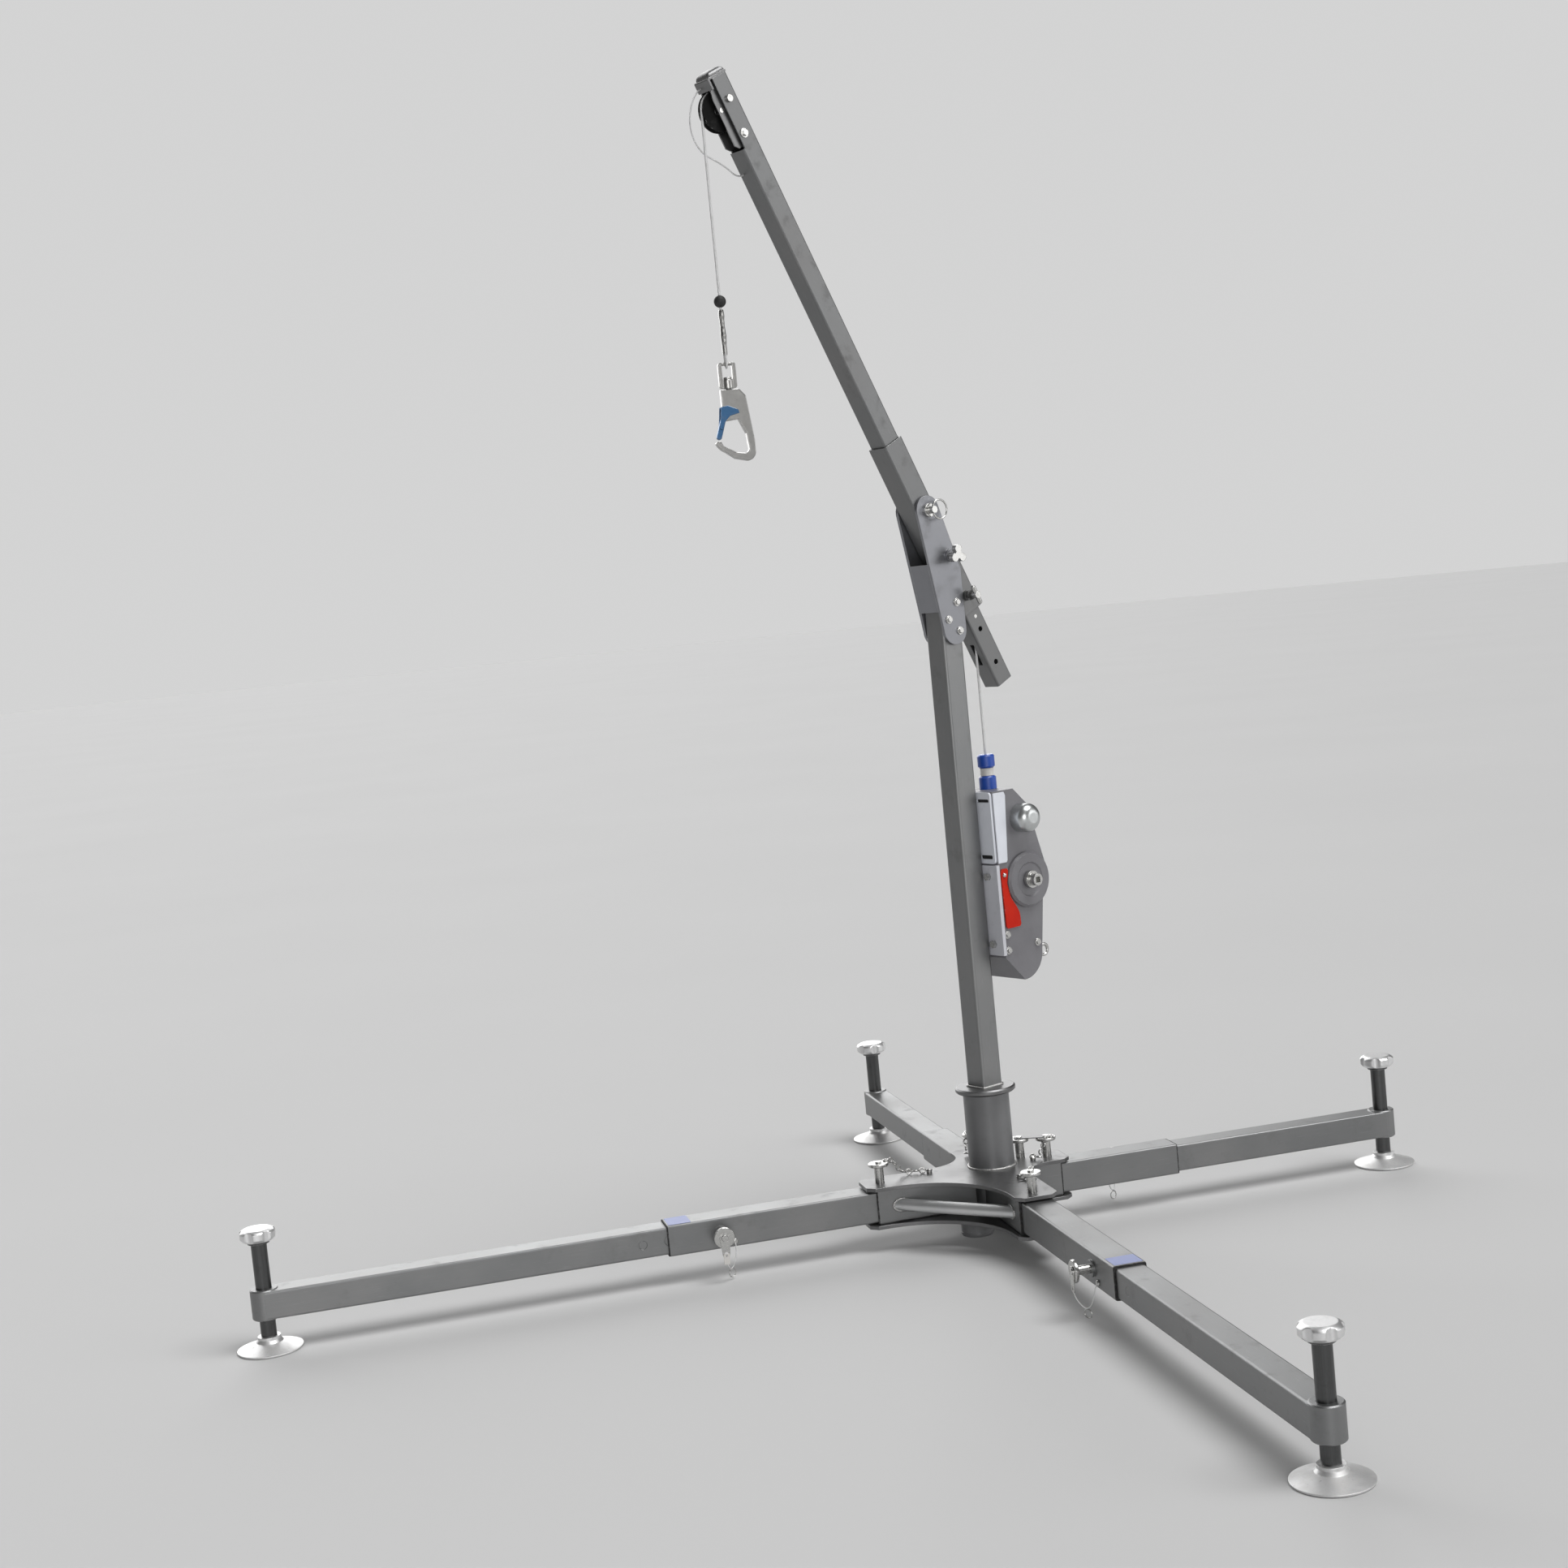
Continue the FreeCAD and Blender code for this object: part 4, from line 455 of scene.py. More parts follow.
def skin(bm, rows):
    """Closed solid from rows of corners: walls from row to row, and a face on each end."""
    for here, after in zip(rows, rows[1:]):
        for n in range(len(here)):
            m = (n + 1) % len(here)
            bm.faces.new((here[n], here[m], after[m], after[n]))
    bm.faces.new(rows[0][::-1])
    bm.faces.new(rows[-1])


def moved(x, y, z):
    return Matrix.Translation((x, y, z))


def circle(radius, middle=(0.0, 0.0), steps=24):
    """Circle, as corner points."""
    angles = [2 * pi * n / steps for n in range(steps)]
    return [(middle[0] + radius * cos(a), middle[1] + radius * sin(a)) for a in angles]


def half_circle(radius, middle, start, steps=12):
    """Half a circle from a start angle on, as corner points."""
    angles = [start + pi * n / steps for n in range(steps + 1)]
    return [(middle[0] + radius * cos(a), middle[1] + radius * sin(a)) for a in angles]


def turned(bm, profile, place, steps):
    """Closed solid turned about the local Z axis from (radius, height) corners, foot first."""
    rings = []
    for r, z in profile:
        rings.append([bm.verts.new(place @ Vector((x, y, z))) for x, y in circle(r, steps=steps)])
    skin(bm, rings)


def ring_solid(bm, radius, wire, place, steps=36, sides=10):
    """Round wire ring about the local Z axis."""
    rows = []
    for x, y in circle(1.0, steps=steps):
        section = [(radius + out, up) for out, up in circle(wire, steps=sides)]
        rows.append([bm.verts.new(place @ Vector((r * x, r * y, z))) for r, z in section])
    for n in range(steps):
        for k in range(sides):
            here, ahead = rows[n], rows[(n + 1) % steps]
            bm.faces.new((here[k], ahead[k], ahead[(k + 1) % sides], here[(k + 1) % sides]))


def slab(bm, outlines, thickness, place):
    """Plate cut to an outline with holes, on the drawn plane, standing out by its thickness."""
    known = set(bm.verts)
    edges = []
    for outline in outlines:
        spots = [bm.verts.new((x, y, 0)) for x, y in outline]
        edges += [bm.edges.new((a, b)) for a, b in zip(spots, spots[1:] + spots[:1])]
    faces = [g for g in bmesh.ops.triangle_fill(bm, edges=edges, use_beauty=True, normal=(0, 0, 1))["geom"]
             if isinstance(g, bmesh.types.BMFace)]
    raised = bmesh.ops.extrude_face_region(bm, geom=faces, use_keep_orig=True)["geom"]
    top = [g for g in raised if isinstance(g, bmesh.types.BMVert)]
    bmesh.ops.translate(bm, verts=top, vec=(0, 0, thickness))
    new = [v for v in bm.verts if v not in known]
    bmesh.ops.recalc_face_normals(bm, faces=list({face for v in new for face in v.link_faces}))
    bmesh.ops.transform(bm, matrix=place, verts=new)


def plate(name, outlines, thickness, places, finish, body):
    """Piece of one or more equal slabs."""
    bm = bmesh.new()
    for place in places:
        slab(bm, outlines, thickness, place)
    piece(name, bm, finish, body)


def lathe(name, profile, places, steps, finish, body):
    """Piece of one or more equal turned solids."""
    bm = bmesh.new()
    for place in places:
        turned(bm, profile, place, steps)
    piece(name, bm, finish, body)


def rounded_box(width, height, radius, middle=(0.0, 0.0), steps=5):
    """Rectangle with round corners, as corner points."""
    points = []
    for n, (sx, sy) in enumerate(((1, 1), (-1, 1), (-1, -1), (1, -1))):
        for k in range(steps + 1):
            a = pi / 2 * (n + k / steps)
            points.append((middle[0] + sx * (width / 2 - radius) + radius * cos(a),
                           middle[1] + sy * (height / 2 - radius) + radius * sin(a)))
    return points


def swept(bm, path, radius, sides=8):
    """Tube along points, with flat ends."""
    up = Vector((0.31, 0.43, 0.85))
    rows = []
    for n, at in enumerate(path):
        ahead = (path[min(n + 1, len(path) - 1)] - path[max(n - 1, 0)]).normalized()
        side = ahead.cross(up).normalized()
        up = side.cross(ahead)
        rows.append([bm.verts.new(at + radius * (side * x + up * y)) for x, y in circle(1.0, steps=sides)])
    skin(bm, rows)


def smooth_line(route, density=24):
    """Points of the smooth line that a route's points control."""
    curve = bpy.data.curves.new("route", "CURVE")
    curve.dimensions = "3D"
    curve.resolution_u = density
    spline = curve.splines.new("NURBS")
    spline.points.add(len(route) - 1)
    for point, at in zip(spline.points, route):
        point.co = (*at, 1.0)
    spline.order_u = 3
    spline.use_endpoint_u = True
    holder = bpy.data.objects.new("route", curve)
    bpy.context.scene.collection.objects.link(holder)
    bpy.context.view_layer.update()
    mesh = bpy.data.meshes.new_from_object(holder.evaluated_get(bpy.context.evaluated_depsgraph_get()))
    points = [v.co.copy() for v in mesh.vertices]
    bpy.data.objects.remove(holder)
    bpy.data.curves.remove(curve)
    bpy.data.meshes.remove(mesh)
    return points


def measured(points):
    """Distance along a line at each of its points."""
    run = [0.0]
    for a, b in zip(points, points[1:]):
        run.append(run[-1] + (b - a).length)
    return run


def twisted(bm, points, diameter, lay, sides):
    """Rope strands laid round a core along points."""
    run = measured(points)
    step = lay / 14
    count = max(int(run[-1] / step), 2)
    spots, seg = [], 0
    for n in range(count + 1):
        s = run[-1] * n / count
        while seg < len(run) - 2 and run[seg + 1] < s:
            seg += 1
        share = (s - run[seg]) / max(run[seg + 1] - run[seg], 1e-9)
        spots.append(points[seg].lerp(points[seg + 1], share))
    strand_r = diameter / 2 / (1 + 1 / sin(pi / STRANDS)) * 1.04
    middle_r = diameter / 2 - strand_r
    up = Vector((0.31, 0.43, 0.85))
    frames = []
    for n, at in enumerate(spots):
        ahead = (spots[min(n + 1, count)] - spots[max(n - 1, 0)]).normalized()
        side = ahead.cross(up).normalized()
        up = side.cross(ahead)
        frames.append((at, side, up.copy()))
    for k in range(STRANDS):
        line = []
        for n, (at, side, lift) in enumerate(frames):
            a = 2 * pi * (k / STRANDS + run[-1] * n / count / lay)
            line.append(at + middle_r * (side * cos(a) + lift * sin(a)))
        swept(bm, line, strand_r, sides)
    swept(bm, spots, middle_r * 0.9, 6)


# Repeated shapes by geometry nodes
def repeat_tree(name, *sizes):
    """Empty geometry tree with named sizes and a finish, as (nodes, input values)."""
    tree = bpy.data.node_groups.new(name, "GeometryNodeTree")
    tree.interface.new_socket("Geometry", in_out="INPUT", socket_type="NodeSocketGeometry")
    for size in sizes:
        tree.interface.new_socket(size, in_out="INPUT", socket_type="NodeSocketFloat")
    tree.interface.new_socket("Finish", in_out="INPUT", socket_type="NodeSocketMaterial")
    tree.interface.new_socket("Geometry", in_out="OUTPUT", socket_type="NodeSocketGeometry")
    nodes = Nodes(tree)
    start = tree.nodes.new("NodeGroupInput")
    return nodes, {s.name: Value(nodes, s) for s in start.outputs if s.name}


def repeat_end(nodes, instances, material):
    """Closes a geometry tree: its instances as one real mesh in the finish."""
    real = nodes.add("GeometryNodeRealizeInstances", {}, {0: instances})
    dressed = nodes.add("GeometryNodeSetMaterial", {}, {"Geometry": real, "Material": material})
    end = nodes.tree.nodes.new("NodeGroupOutput")
    nodes.tree.links.new(dressed.socket, end.inputs[0])
    return nodes.tree


def weld_tree():
    """Overlapping drops of weld metal along the lines of a mesh."""
    nodes, given = repeat_tree("weld_bead", "Pitch", "Width")
    line = nodes.add("GeometryNodeMeshToCurve", {}, {"Mesh": given["Geometry"]})
    spots = nodes.add("GeometryNodeCurveToPoints", {"mode": "LENGTH"},
                      {"Curve": line, "Length": given["Pitch"]})
    drop = nodes.add("GeometryNodeMeshUVSphere", {},
                     {"Segments": 8, "Rings": 6, "Radius": given["Width"] * 0.5})
    size = nodes.add("FunctionNodeRandomValue", {"data_type": "FLOAT"}, {2: 0.86, 3: 1.08, "Seed": 5}, 1)
    laid = nodes.add("GeometryNodeInstanceOnPoints", {}, {"Points": spots, "Instance": drop, "Scale": size})
    return repeat_end(nodes, laid, given["Finish"])


def chain_tree():
    """Oval links along the line of a mesh, each turned a quarter from the last."""
    nodes, given = repeat_tree("chain", "Pitch", "Wire")
    line = nodes.add("GeometryNodeMeshToCurve", {}, {"Mesh": given["Geometry"]})
    spots = nodes.add("GeometryNodeCurveToPoints", {"mode": "LENGTH"},
                      {"Curve": line, "Length": given["Pitch"]})
    ring = nodes.add("GeometryNodeCurvePrimitiveCircle", {},
                     {"Resolution": 14, "Radius": given["Pitch"] * 0.42})
    oval = nodes.add("GeometryNodeTransform", {},
                     {"Geometry": ring, "Rotation": (pi / 2, 0, 0), "Scale": (0.85, 1.0, 1.7)})
    wire = nodes.add("GeometryNodeCurvePrimitiveCircle", {}, {"Resolution": 6, "Radius": given["Wire"] * 0.5})
    link = nodes.add("GeometryNodeCurveToMesh", {}, {"Curve": oval, "Profile Curve": wire})
    order = nodes.add("GeometryNodeInputIndex", {}, {})
    quarter = nodes.add("FunctionNodeAxisAngleToRotation", {}, {"Axis": (0, 0, 1), "Angle": order * (pi / 2)})
    along = Value(nodes, spots.socket.node.outputs["Rotation"])
    facing = nodes.add("FunctionNodeRotateRotation", {"rotation_space": "LOCAL"},
                       {"Rotation": along, "Rotate By": quarter})
    laid = nodes.add("GeometryNodeInstanceOnPoints", {},
                     {"Points": spots, "Instance": link, "Rotation": facing})
    return repeat_end(nodes, laid, given["Finish"])


def bolt_tree():
    """Hexagon heads on washers at the points of a mesh, facing along the points' normals."""
    nodes, given = repeat_tree("bolt_heads", "Across", "Height")
    head = nodes.add("GeometryNodeMeshCylinder", {},
                     {"Vertices": 6, "Radius": given["Across"] * 0.5, "Depth": given["Height"]})
    washer = nodes.add("GeometryNodeMeshCylinder", {},
                       {"Vertices": 28, "Radius": given["Across"] * 0.72, "Depth": given["Height"] * 0.5})
    offset = nodes.add("ShaderNodeCombineXYZ", {}, {"Z": given["Height"] * 0.5})
    head = nodes.add("GeometryNodeTransform", {}, {"Geometry": head, "Translation": offset})
    both = nodes.add("GeometryNodeJoinGeometry", {}, {0: head})
    nodes.tree.links.new(washer.socket, both.socket.node.inputs[0])
    facing = nodes.add("GeometryNodeInputNamedAttribute", {"data_type": "FLOAT_VECTOR"}, {"Name": "facing"})
    turn = nodes.add("FunctionNodeAlignRotationToVector", {"axis": "Z"}, {"Vector": facing})
    laid = nodes.add("GeometryNodeInstanceOnPoints", {},
                     {"Points": given["Geometry"], "Instance": both, "Rotation": turn})
    return repeat_end(nodes, laid, given["Finish"])


def repeated(name, tree, sizes, points, edges, body, facing=None):
    """Runs a geometry tree on points and edges, and keeps the result as a plain piece."""
    mesh = bpy.data.meshes.new(name + "_lines")
    mesh.from_pydata(points, edges, [])
    if facing:
        held = mesh.attributes.new("facing", "FLOAT_VECTOR", "POINT")
        held.data.foreach_set("vector", [c for f in facing for c in f])
    carrier = bpy.data.objects.new(name + "_lines", mesh)
    bpy.context.scene.collection.objects.link(carrier)
    modifier = carrier.modifiers.new("repeat", "NODES")
    modifier.node_group = tree
    for item in tree.interface.items_tree:
        if item.in_out == "INPUT" and item.name in sizes:
            modifier[item.identifier] = sizes[item.name]
    bpy.context.view_layer.update()
    graph = bpy.context.evaluated_depsgraph_get()
    made = bpy.data.meshes.new_from_object(carrier.evaluated_get(graph))
    bpy.data.objects.remove(carrier)
    bpy.data.meshes.remove(mesh)
    return piece(name, made, sizes["Finish"], body)


# Ropes
def stranded(name, points, diameter, body=None, lay=STRAND_LAY, sides=7):
    """Piece of twisted strands along points."""
    bm = bmesh.new()
    twisted(bm, points, diameter, lay, sides)
    return piece(name, bm, rope_wire, body)


def rope(name, route, node):
    """Rope along a route in place of a solid, as (piece, points)."""
    points = smooth_line(route)
    thing = stranded(name, points, ROPE_D)
    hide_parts(node)
    return thing, points


def head_rim(angle):
    """Point of the rope on the head sheave, at an angle from the boom's upper side."""
    x, z = HEAD_SHEAVE
    return BOOM @ Vector((x + HEAD_SHEAVE_R * cos(angle), 0, z + HEAD_SHEAVE_R * sin(angle)))


# Rope from the drum up to the boom's tail
_, run_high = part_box("rope_run")
run_foot, run_top = MAST @ Vector((ROPE_X, 0, DRUM_Z)), MAST @ Vector((ROPE_X, 0, run_high.z))
run_rope, _ = rope("winch_rope", [run_foot, run_foot.lerp(run_top, 0.5), run_top], "rope_run")
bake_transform(run_rope)

# Rope from the head sheave down to the hook
fall_low, fall_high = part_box("rope_fall")
fall_spot = (fall_low + fall_high) / 2
fall_top = Vector((fall_spot.x, fall_spot.y, fall_high.z))
fall_end = Vector((fall_spot.x, fall_spot.y, FERRULE[1] - 0.004))
fall_rope, fall_path = rope("hook_rope", [fall_top, fall_top.lerp(fall_end, 0.5), fall_end], "rope_fall")
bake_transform(fall_rope)
measured(fall_path)[-1]

# Rope inside the boom and round the head sheave
inner_line = (TAIL_SHEAVE_Z + 0.02, 0.0, 0.4, 0.77, HEAD_SHEAVE[1])
inner_route = [BOOM @ Vector((INNER_ROPE - 0.0012, 0, TAIL_SHEAVE_Z - 0.006))]
inner_route += [BOOM @ Vector((INNER_ROPE, 0, z)) for z in inner_line]
inner_route += [head_rim((pi - LEAN) * n / 12) for n in range(1, 13)]
inner_rope, _ = rope("boom_rope", inner_route, "rope_inner")
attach(inner_rope, "boom")

# Tether, by its distance from the boom's axis and its share of the drop at each point of the route
wire_top, wire_low = BOOM_HEAD - 0.0085, BOOM_HEAD - 1.32 * HEAD_MOUTH
bulge, drop = 4.4 * BOOM_HALF, wire_top - wire_low
wire_spots = ((BOOM_HALF + 0.004, 0.0), (0.45 * bulge, 0.0), (0.9 * bulge, 0.22), (bulge, 0.54),
              (0.57 * bulge, 0.8), (0.39 * bulge, 1.0), (BOOM_HALF, 1.0))
wire_path = smooth_line([BOOM @ Vector((-aside, WIRE_Y, wire_top - share * drop))
                         for aside, share in wire_spots])
tether = stranded("tether", wire_path, WIRE_D, "boom", WIRE_LAY, 6)
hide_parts("tether_wire")
measured(wire_path)[-1]


# Rope end: swaged sleeve and its eye round the link
def rope_sleeve(half_x=0.0052, half_y=0.0088, rows=60, steps=28):
    """Flat sleeve with two long waves, fine ribs and tapered ends."""
    bm = bmesh.new()
    low, high = FERRULE
    place = moved(fall_spot.x, fall_spot.y, 0)
    rings = []
    for n in range(rows + 1):
        t = n / rows
        swell = 0.90 + 0.10 * cos(2 * pi * 2 * (t - 0.42)) + 0.03 * cos(2 * pi * 7 * t)
        size = min(1.0, 0.80 + 3.0 * min(t, 1 - t)) * swell
        z = low + (high - low) * t
        rings.append([bm.verts.new(place @ Vector((half_x * size * x, half_y * size * y, z)))
                      for x, y in circle(1.0, steps=steps)])
    skin(bm, rings)
    return bm


sleeve = piece("rope_sleeve", rope_sleeve(), forged_steel, "hook_block")
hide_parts("rope_ferrule")
loop = ((-LOOP_R, 0.024), (-LOOP_R, 0.008), (-LOOP_R, -0.0035), (0, -0.0085), (LOOP_R, -0.0035),
        (LOOP_R, 0.008), (LOOP_R, 0.024))
loop_path = smooth_line([Vector((fall_spot.x, fall_spot.y + y, EYE_BAR_Z + z)) for y, z in loop])
stranded("rope_eye", loop_path, EYE_ROPE_D, "hook_block")


# Leg joints: wiper seals, pin tabs, lanyards, their rings and screws, plugs in the spare holes
def pin_frame(leg):
    """Frame at a leg's extension pin: on the leg's axis, Y up and Z out along the pin."""
    facts = LEGS[leg]
    return LEG[leg] @ Matrix(((-facts.side, 0, 0, facts.outer_end - PIN_SETBACK), (0, 0, facts.side, 0),
                              (0, 1, 0, LEG_AXIS_Z), (0, 0, 0, 1)))


def seal(name, leg, along, outer, inner, thickness):
    """Square rubber ring round a leg."""
    plate(name, [rounded_box(outer, outer, SEAL_CORNER), rounded_box(inner, inner, SEAL_CORNER)], thickness,
          [LEG[leg] @ moved(along, 0, 0) @ LEG_END], seal_rubber, "base")


def pin_tab(leg):
    """Tab on the pin's nub with a hole for the lanyard."""
    outline = half_circle(TAB_R, (0.0, 0.0), 0.0) + half_circle(TAB_END_R, TAB_END, pi)
    holes = [circle(PIN_NUB_R + 0.0003), circle(TAB_HOLE_R, TAB_END, 18)]
    plate("pin_tab_" + leg, [outline] + holes, TAB_T, [pin_frame(leg) @ moved(0, 0, PIN_HEAD_FACE + 0.0002)],
          zinc, "extension_lock_" + leg)


def lanyard(leg):
    """Hanging cord from the leg's screw to the tab."""
    path = smooth_line([pin_frame(leg) @ Vector(p) for p in LANYARD], 12)
    bm = bmesh.new()
    swept(bm, path, LANYARD_D / 2)
    line = piece("pin_lanyard_" + leg, bm, rope_wire, None)
    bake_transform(line)
    measured(path)[-1]


for leg, facts in LEGS.items():
    seal("wiper_" + leg, leg, facts.outer_end, LEG_OUTER - 2 * SEAL_FIT, LEG_INNER + 2 * WIPER_FIT, WIPER_T)
    pin_tab(leg)
    lanyard(leg)
    bm = bmesh.new()
    ring_solid(bm, 0.0080, 0.0011, pin_frame(leg) @ moved(*LANYARD_RING) @ Matrix.Rotation(0.5, 4, "Y"))
    piece("lanyard_ring_" + leg, bm, zinc, "base")
    lathe("lanyard_screw_" + leg, [(0.0058, 0.0), (0.0062, 0.0012), (0.0050, 0.0034), (0.0026, 0.0042)],
          [pin_frame(leg) @ moved(*LANYARD_SCREW)], 20, zinc, "base")
    lathe("hole_plugs_" + leg, [(PLUG_R, -0.0028), (PLUG_R, -0.0006), (PLUG_R - 0.0005, -0.0002)],
          [pin_frame(leg) @ moved(-facts.side * step, 0, LEG_INNER / 2) for step in facts.plugs], 32,
          tube_y if facts.azimuth % 180 else tube_x, "leg_" + leg)

# White tag on the left lanyard
plate("pin_tag", [rounded_box(0.012, 0.021, 0.002, (0.0, -0.0125)), circle(0.0022, (0.0, -0.0055), 16)],
      TAG_T, [pin_frame("left") @ moved(0.0, -0.0275, 0.0684)], white_moulding, "extension_lock_left")

# Seals in the socket mouths
for leg, facts in LEGS.items():
    seal("socket_seal_" + leg, leg, facts.socket_pin + MOUTH_PAST_PIN, SOCKET_OUTER, LEG_OUTER + 2 * SEAL_FIT,
         SEAL_T)

# Round cup under the lower plate, beside the bearing cup
lathe("under_cup", [(0.0245, 0.0125), (0.0300, 0.0140), (0.0325, 0.0180), (0.0325, 0.0205), (0.0312, 0.0215),
                    (0.0312, 0.0440), (0.0330, LOWER_UNDER)],
      [moved(*UNDER_CUP, 0)], 40, sleeve_metal, "base")

# Strap over the two pins beside the sleeve
strap_ends = (LOCK_PIN, (LEGS["right"].socket_pin, 0.0))
strap_way = atan2(strap_ends[1][1] - LOCK_PIN[1], strap_ends[1][0] - LOCK_PIN[0])
strap = half_circle(STRAP_R, strap_ends[0], strap_way + pi / 2)
strap += half_circle(STRAP_R, strap_ends[1], strap_way - pi / 2)
plate("pin_strap", [strap] + [circle(PIN_NUB_R + 0.0004, end) for end in strap_ends], STRAP_T,
      [moved(0, 0, SOCKET_PIN_HEAD + 0.0031)], hub_plate, "base")

# Chains that keep the socket pins on the hub
chain = chain_tree()
for leg, facts in LEGS.items():
    # How far the chain lies inwards, and where it hangs on the pin's head, in radii of the head
    reach, grip = (-0.062, -0.9) if facts.socket_pin > 0.2 else (-0.030, 0.4)
    x, y, z = facts.socket_pin + grip * PIN_HEAD_R, -0.4 * facts.side * PIN_HEAD_R, SOCKET_PIN_HEAD + 0.0042
    route = [(x, y, z), (x - 0.012, y - 0.006 * facts.side, z),
             (x - 0.024, y - 0.012 * facts.side, z - 0.018),
             (x - 0.034, y - 0.016 * facts.side, PLATE_TOP + 0.0065),
             (x + reach, y - 0.014 * facts.side, PLATE_TOP + CHAIN_LIE),
             (x + 1.4 * reach, y - 0.004 * facts.side, PLATE_TOP + CHAIN_LIE)]
    line = smooth_line([LEG[leg] @ Vector(p) for p in route])
    repeated("pin_chain_" + leg, chain, {"Pitch": CHAIN_PITCH, "Wire": CHAIN_WIRE, "Finish": zinc}, line,
             [(n, n + 1) for n in range(len(line) - 1)], "base")
    lathe("chain_screw_" + leg, [(0.0055, 0.0), (0.0055, 0.0045), (0.0035, 0.0065)],
          [moved(line[-1].x, line[-1].y, PLATE_TOP)], 20, zinc, "base")

# Weld beads
weld = weld_tree()


def welded(name, lines, body):
    """Weld beads along closed lines of points."""
    points, edges = [], []
    for line in lines:
        count = len(line)
        edges += [(len(points) + n, len(points) + (n + 1) % count) for n in range(count)]
        points += line
    repeated(name, weld, {"Pitch": BEAD_PITCH, "Width": BEAD_W, "Finish": weld_metal}, points, edges,
             body)


def level_ring(radius, z):
    """Points of a level circle about the mast's axis."""
    return [Vector((x, y, z)) for x, y in circle(radius, steps=96)]


bar_x, bar_y = GRIP_LINE - SOCKET_OUTER / 2, SOCKET_OUTER / 2 + 0.0005
bar_ring = [(bar_x + sqrt(2) * x, bar_y, LEG_AXIS_Z + z) for x, z in circle(GRIP_R, steps=48)]
welded("hub_weld", [level_ring(SLEEVE_R + BEAD_OUT, PLATE_TOP + BEAD_OUT),
                    level_ring(CUP_R + BEAD_OUT, LOWER_UNDER - BEAD_OUT),
                    [Vector((-x, -y, z)) for x, y, z in bar_ring],
                    [Vector((-y, -x, z)) for x, y, z in bar_ring]], "base")
mast_side = 2 * (MAST_HALF + BEAD_OUT)
mast_square = rounded_box(mast_side, mast_side, 0.006)
welded("mast_weld", [[MAST @ Vector((x, y, MAST_FOOT + BEAD_OUT)) for x, y in mast_square]], "mast")

# Bolt heads
bolt = bolt_tree()


def bolts(name, spots, out, place, across, height, body):
    """Bolt heads on a face that looks along plus or minus Y."""
    facing = (place.to_3x3() @ Vector((0, out, 0))).normalized()
    repeated(name, bolt, {"Across": across, "Height": height, "Finish": zinc},
             [place @ Vector(p) for p in spots], [], body, [facing] * len(spots))


for side, out in (("near", -1), ("far", 1)):
    bolts("cheek_bolts_" + side, [(x, out * CHEEK_FACE, z) for x, z in CHEEK_BOLTS], out, MAST,
          0.011, 0.006, "mast")
bolts("boom_head_bolts", [(-0.002, -BOOM_HALF, 0.775)], -1, BOOM, 0.012, 0.006, "boom")
bolts("winch_side_bolts", [(x, -WINCH_HALF, z) for x, z in WINCH_BOLTS], -1, MAST, 0.0105, 0.0055, "mast")

# Winch: front cover with two slots, red panel, ring bolt, white neck
winch_side = MAST @ NEAR_SIDE @ moved(0, 0, WINCH_HALF)
winch_face = MAST @ FRONT_SIDE @ moved(0, 0, -WINCH_FRONT)
cover_mid = (WINCH_TOP + BRACKET_TOP) / 2 + 0.001
cover_high = WINCH_TOP - BRACKET_TOP - 0.004
plate("winch_front_cover", [rounded_box(2 * WINCH_HALF - 0.002, cover_high, 0.006, (0, cover_mid)),
                            rounded_box(SLOT_W, 0.0062, 0.0025, (0.036, cover_mid + cover_high / 2 - 0.016)),
                            rounded_box(SLOT_W, 0.0075, 0.0025, (0.034, cover_mid - cover_high / 2 + 0.013))],
      COVER_T, [winch_face], cover_coat, "mast")
# Black sheet at the floor of the cover's slots: painted shade inside the slots
plate("winch_slot_painted_shade", [rounded_box(2 * WINCH_HALF - 0.016, cover_high - 0.012, 0.004, (0, cover_mid))],
      0.0012, [winch_face], seal_rubber, "mast")
plate("winch_cover_side", [[(WINCH_FRONT + 0.0005, BRACKET_TOP + 0.003), (0.0545, BRACKET_TOP + 0.003),
                            (0.0570, BRACKET_TOP + 0.007), (0.0650, WINCH_TOP - 0.010),
                            (0.0620, WINCH_TOP - 0.003), (WINCH_FRONT + 0.0005, WINCH_TOP - 0.003)]],
      0.0028, [winch_side], cover_coat, "mast")
plate("winch_side_panel", [[(0.0362, 0.706), (0.0395, 0.712), (0.0535, 0.712), (0.0560, 0.707),
                            (0.0505, 0.683), (0.0570, 0.655), (0.0690, 0.637), (0.0770, 0.622),
                            (0.0785, 0.600), (0.0755, 0.595), (0.0425, 0.595), (0.0395, 0.599)]],
      PANEL_T, [winch_side], orange_moulding, "mast")
lathe("winch_panel_screw", [(0.0042, 0.0), (0.0046, 0.001), (0.0034, 0.0028), (0.0012, 0.0032)],
      [MAST @ NEAR_SIDE @ moved(0.0445, 0.700, WINCH_HALF + PANEL_T)], 20, zinc, "mast")
belly_x, belly_z, belly_r = BELLY
ring_foot = MAST @ moved(belly_x + belly_r, -0.046, belly_z - 0.004)
bm = bmesh.new()
ring_solid(bm, 0.0105, 0.0032, ring_foot @ moved(0.014, 0, 0) @ Matrix.Rotation(pi / 2, 4, "X"))
turned(bm, [(0.0052, -0.012), (0.0052, 0.0045), (0.0038, 0.007)],
       ring_foot @ Matrix.Rotation(pi / 2, 4, "Y"), 24)
piece("winch_ring_bolt", bm, zinc, "mast")
neck_low, neck_high, neck_r = GUIDE_NECK
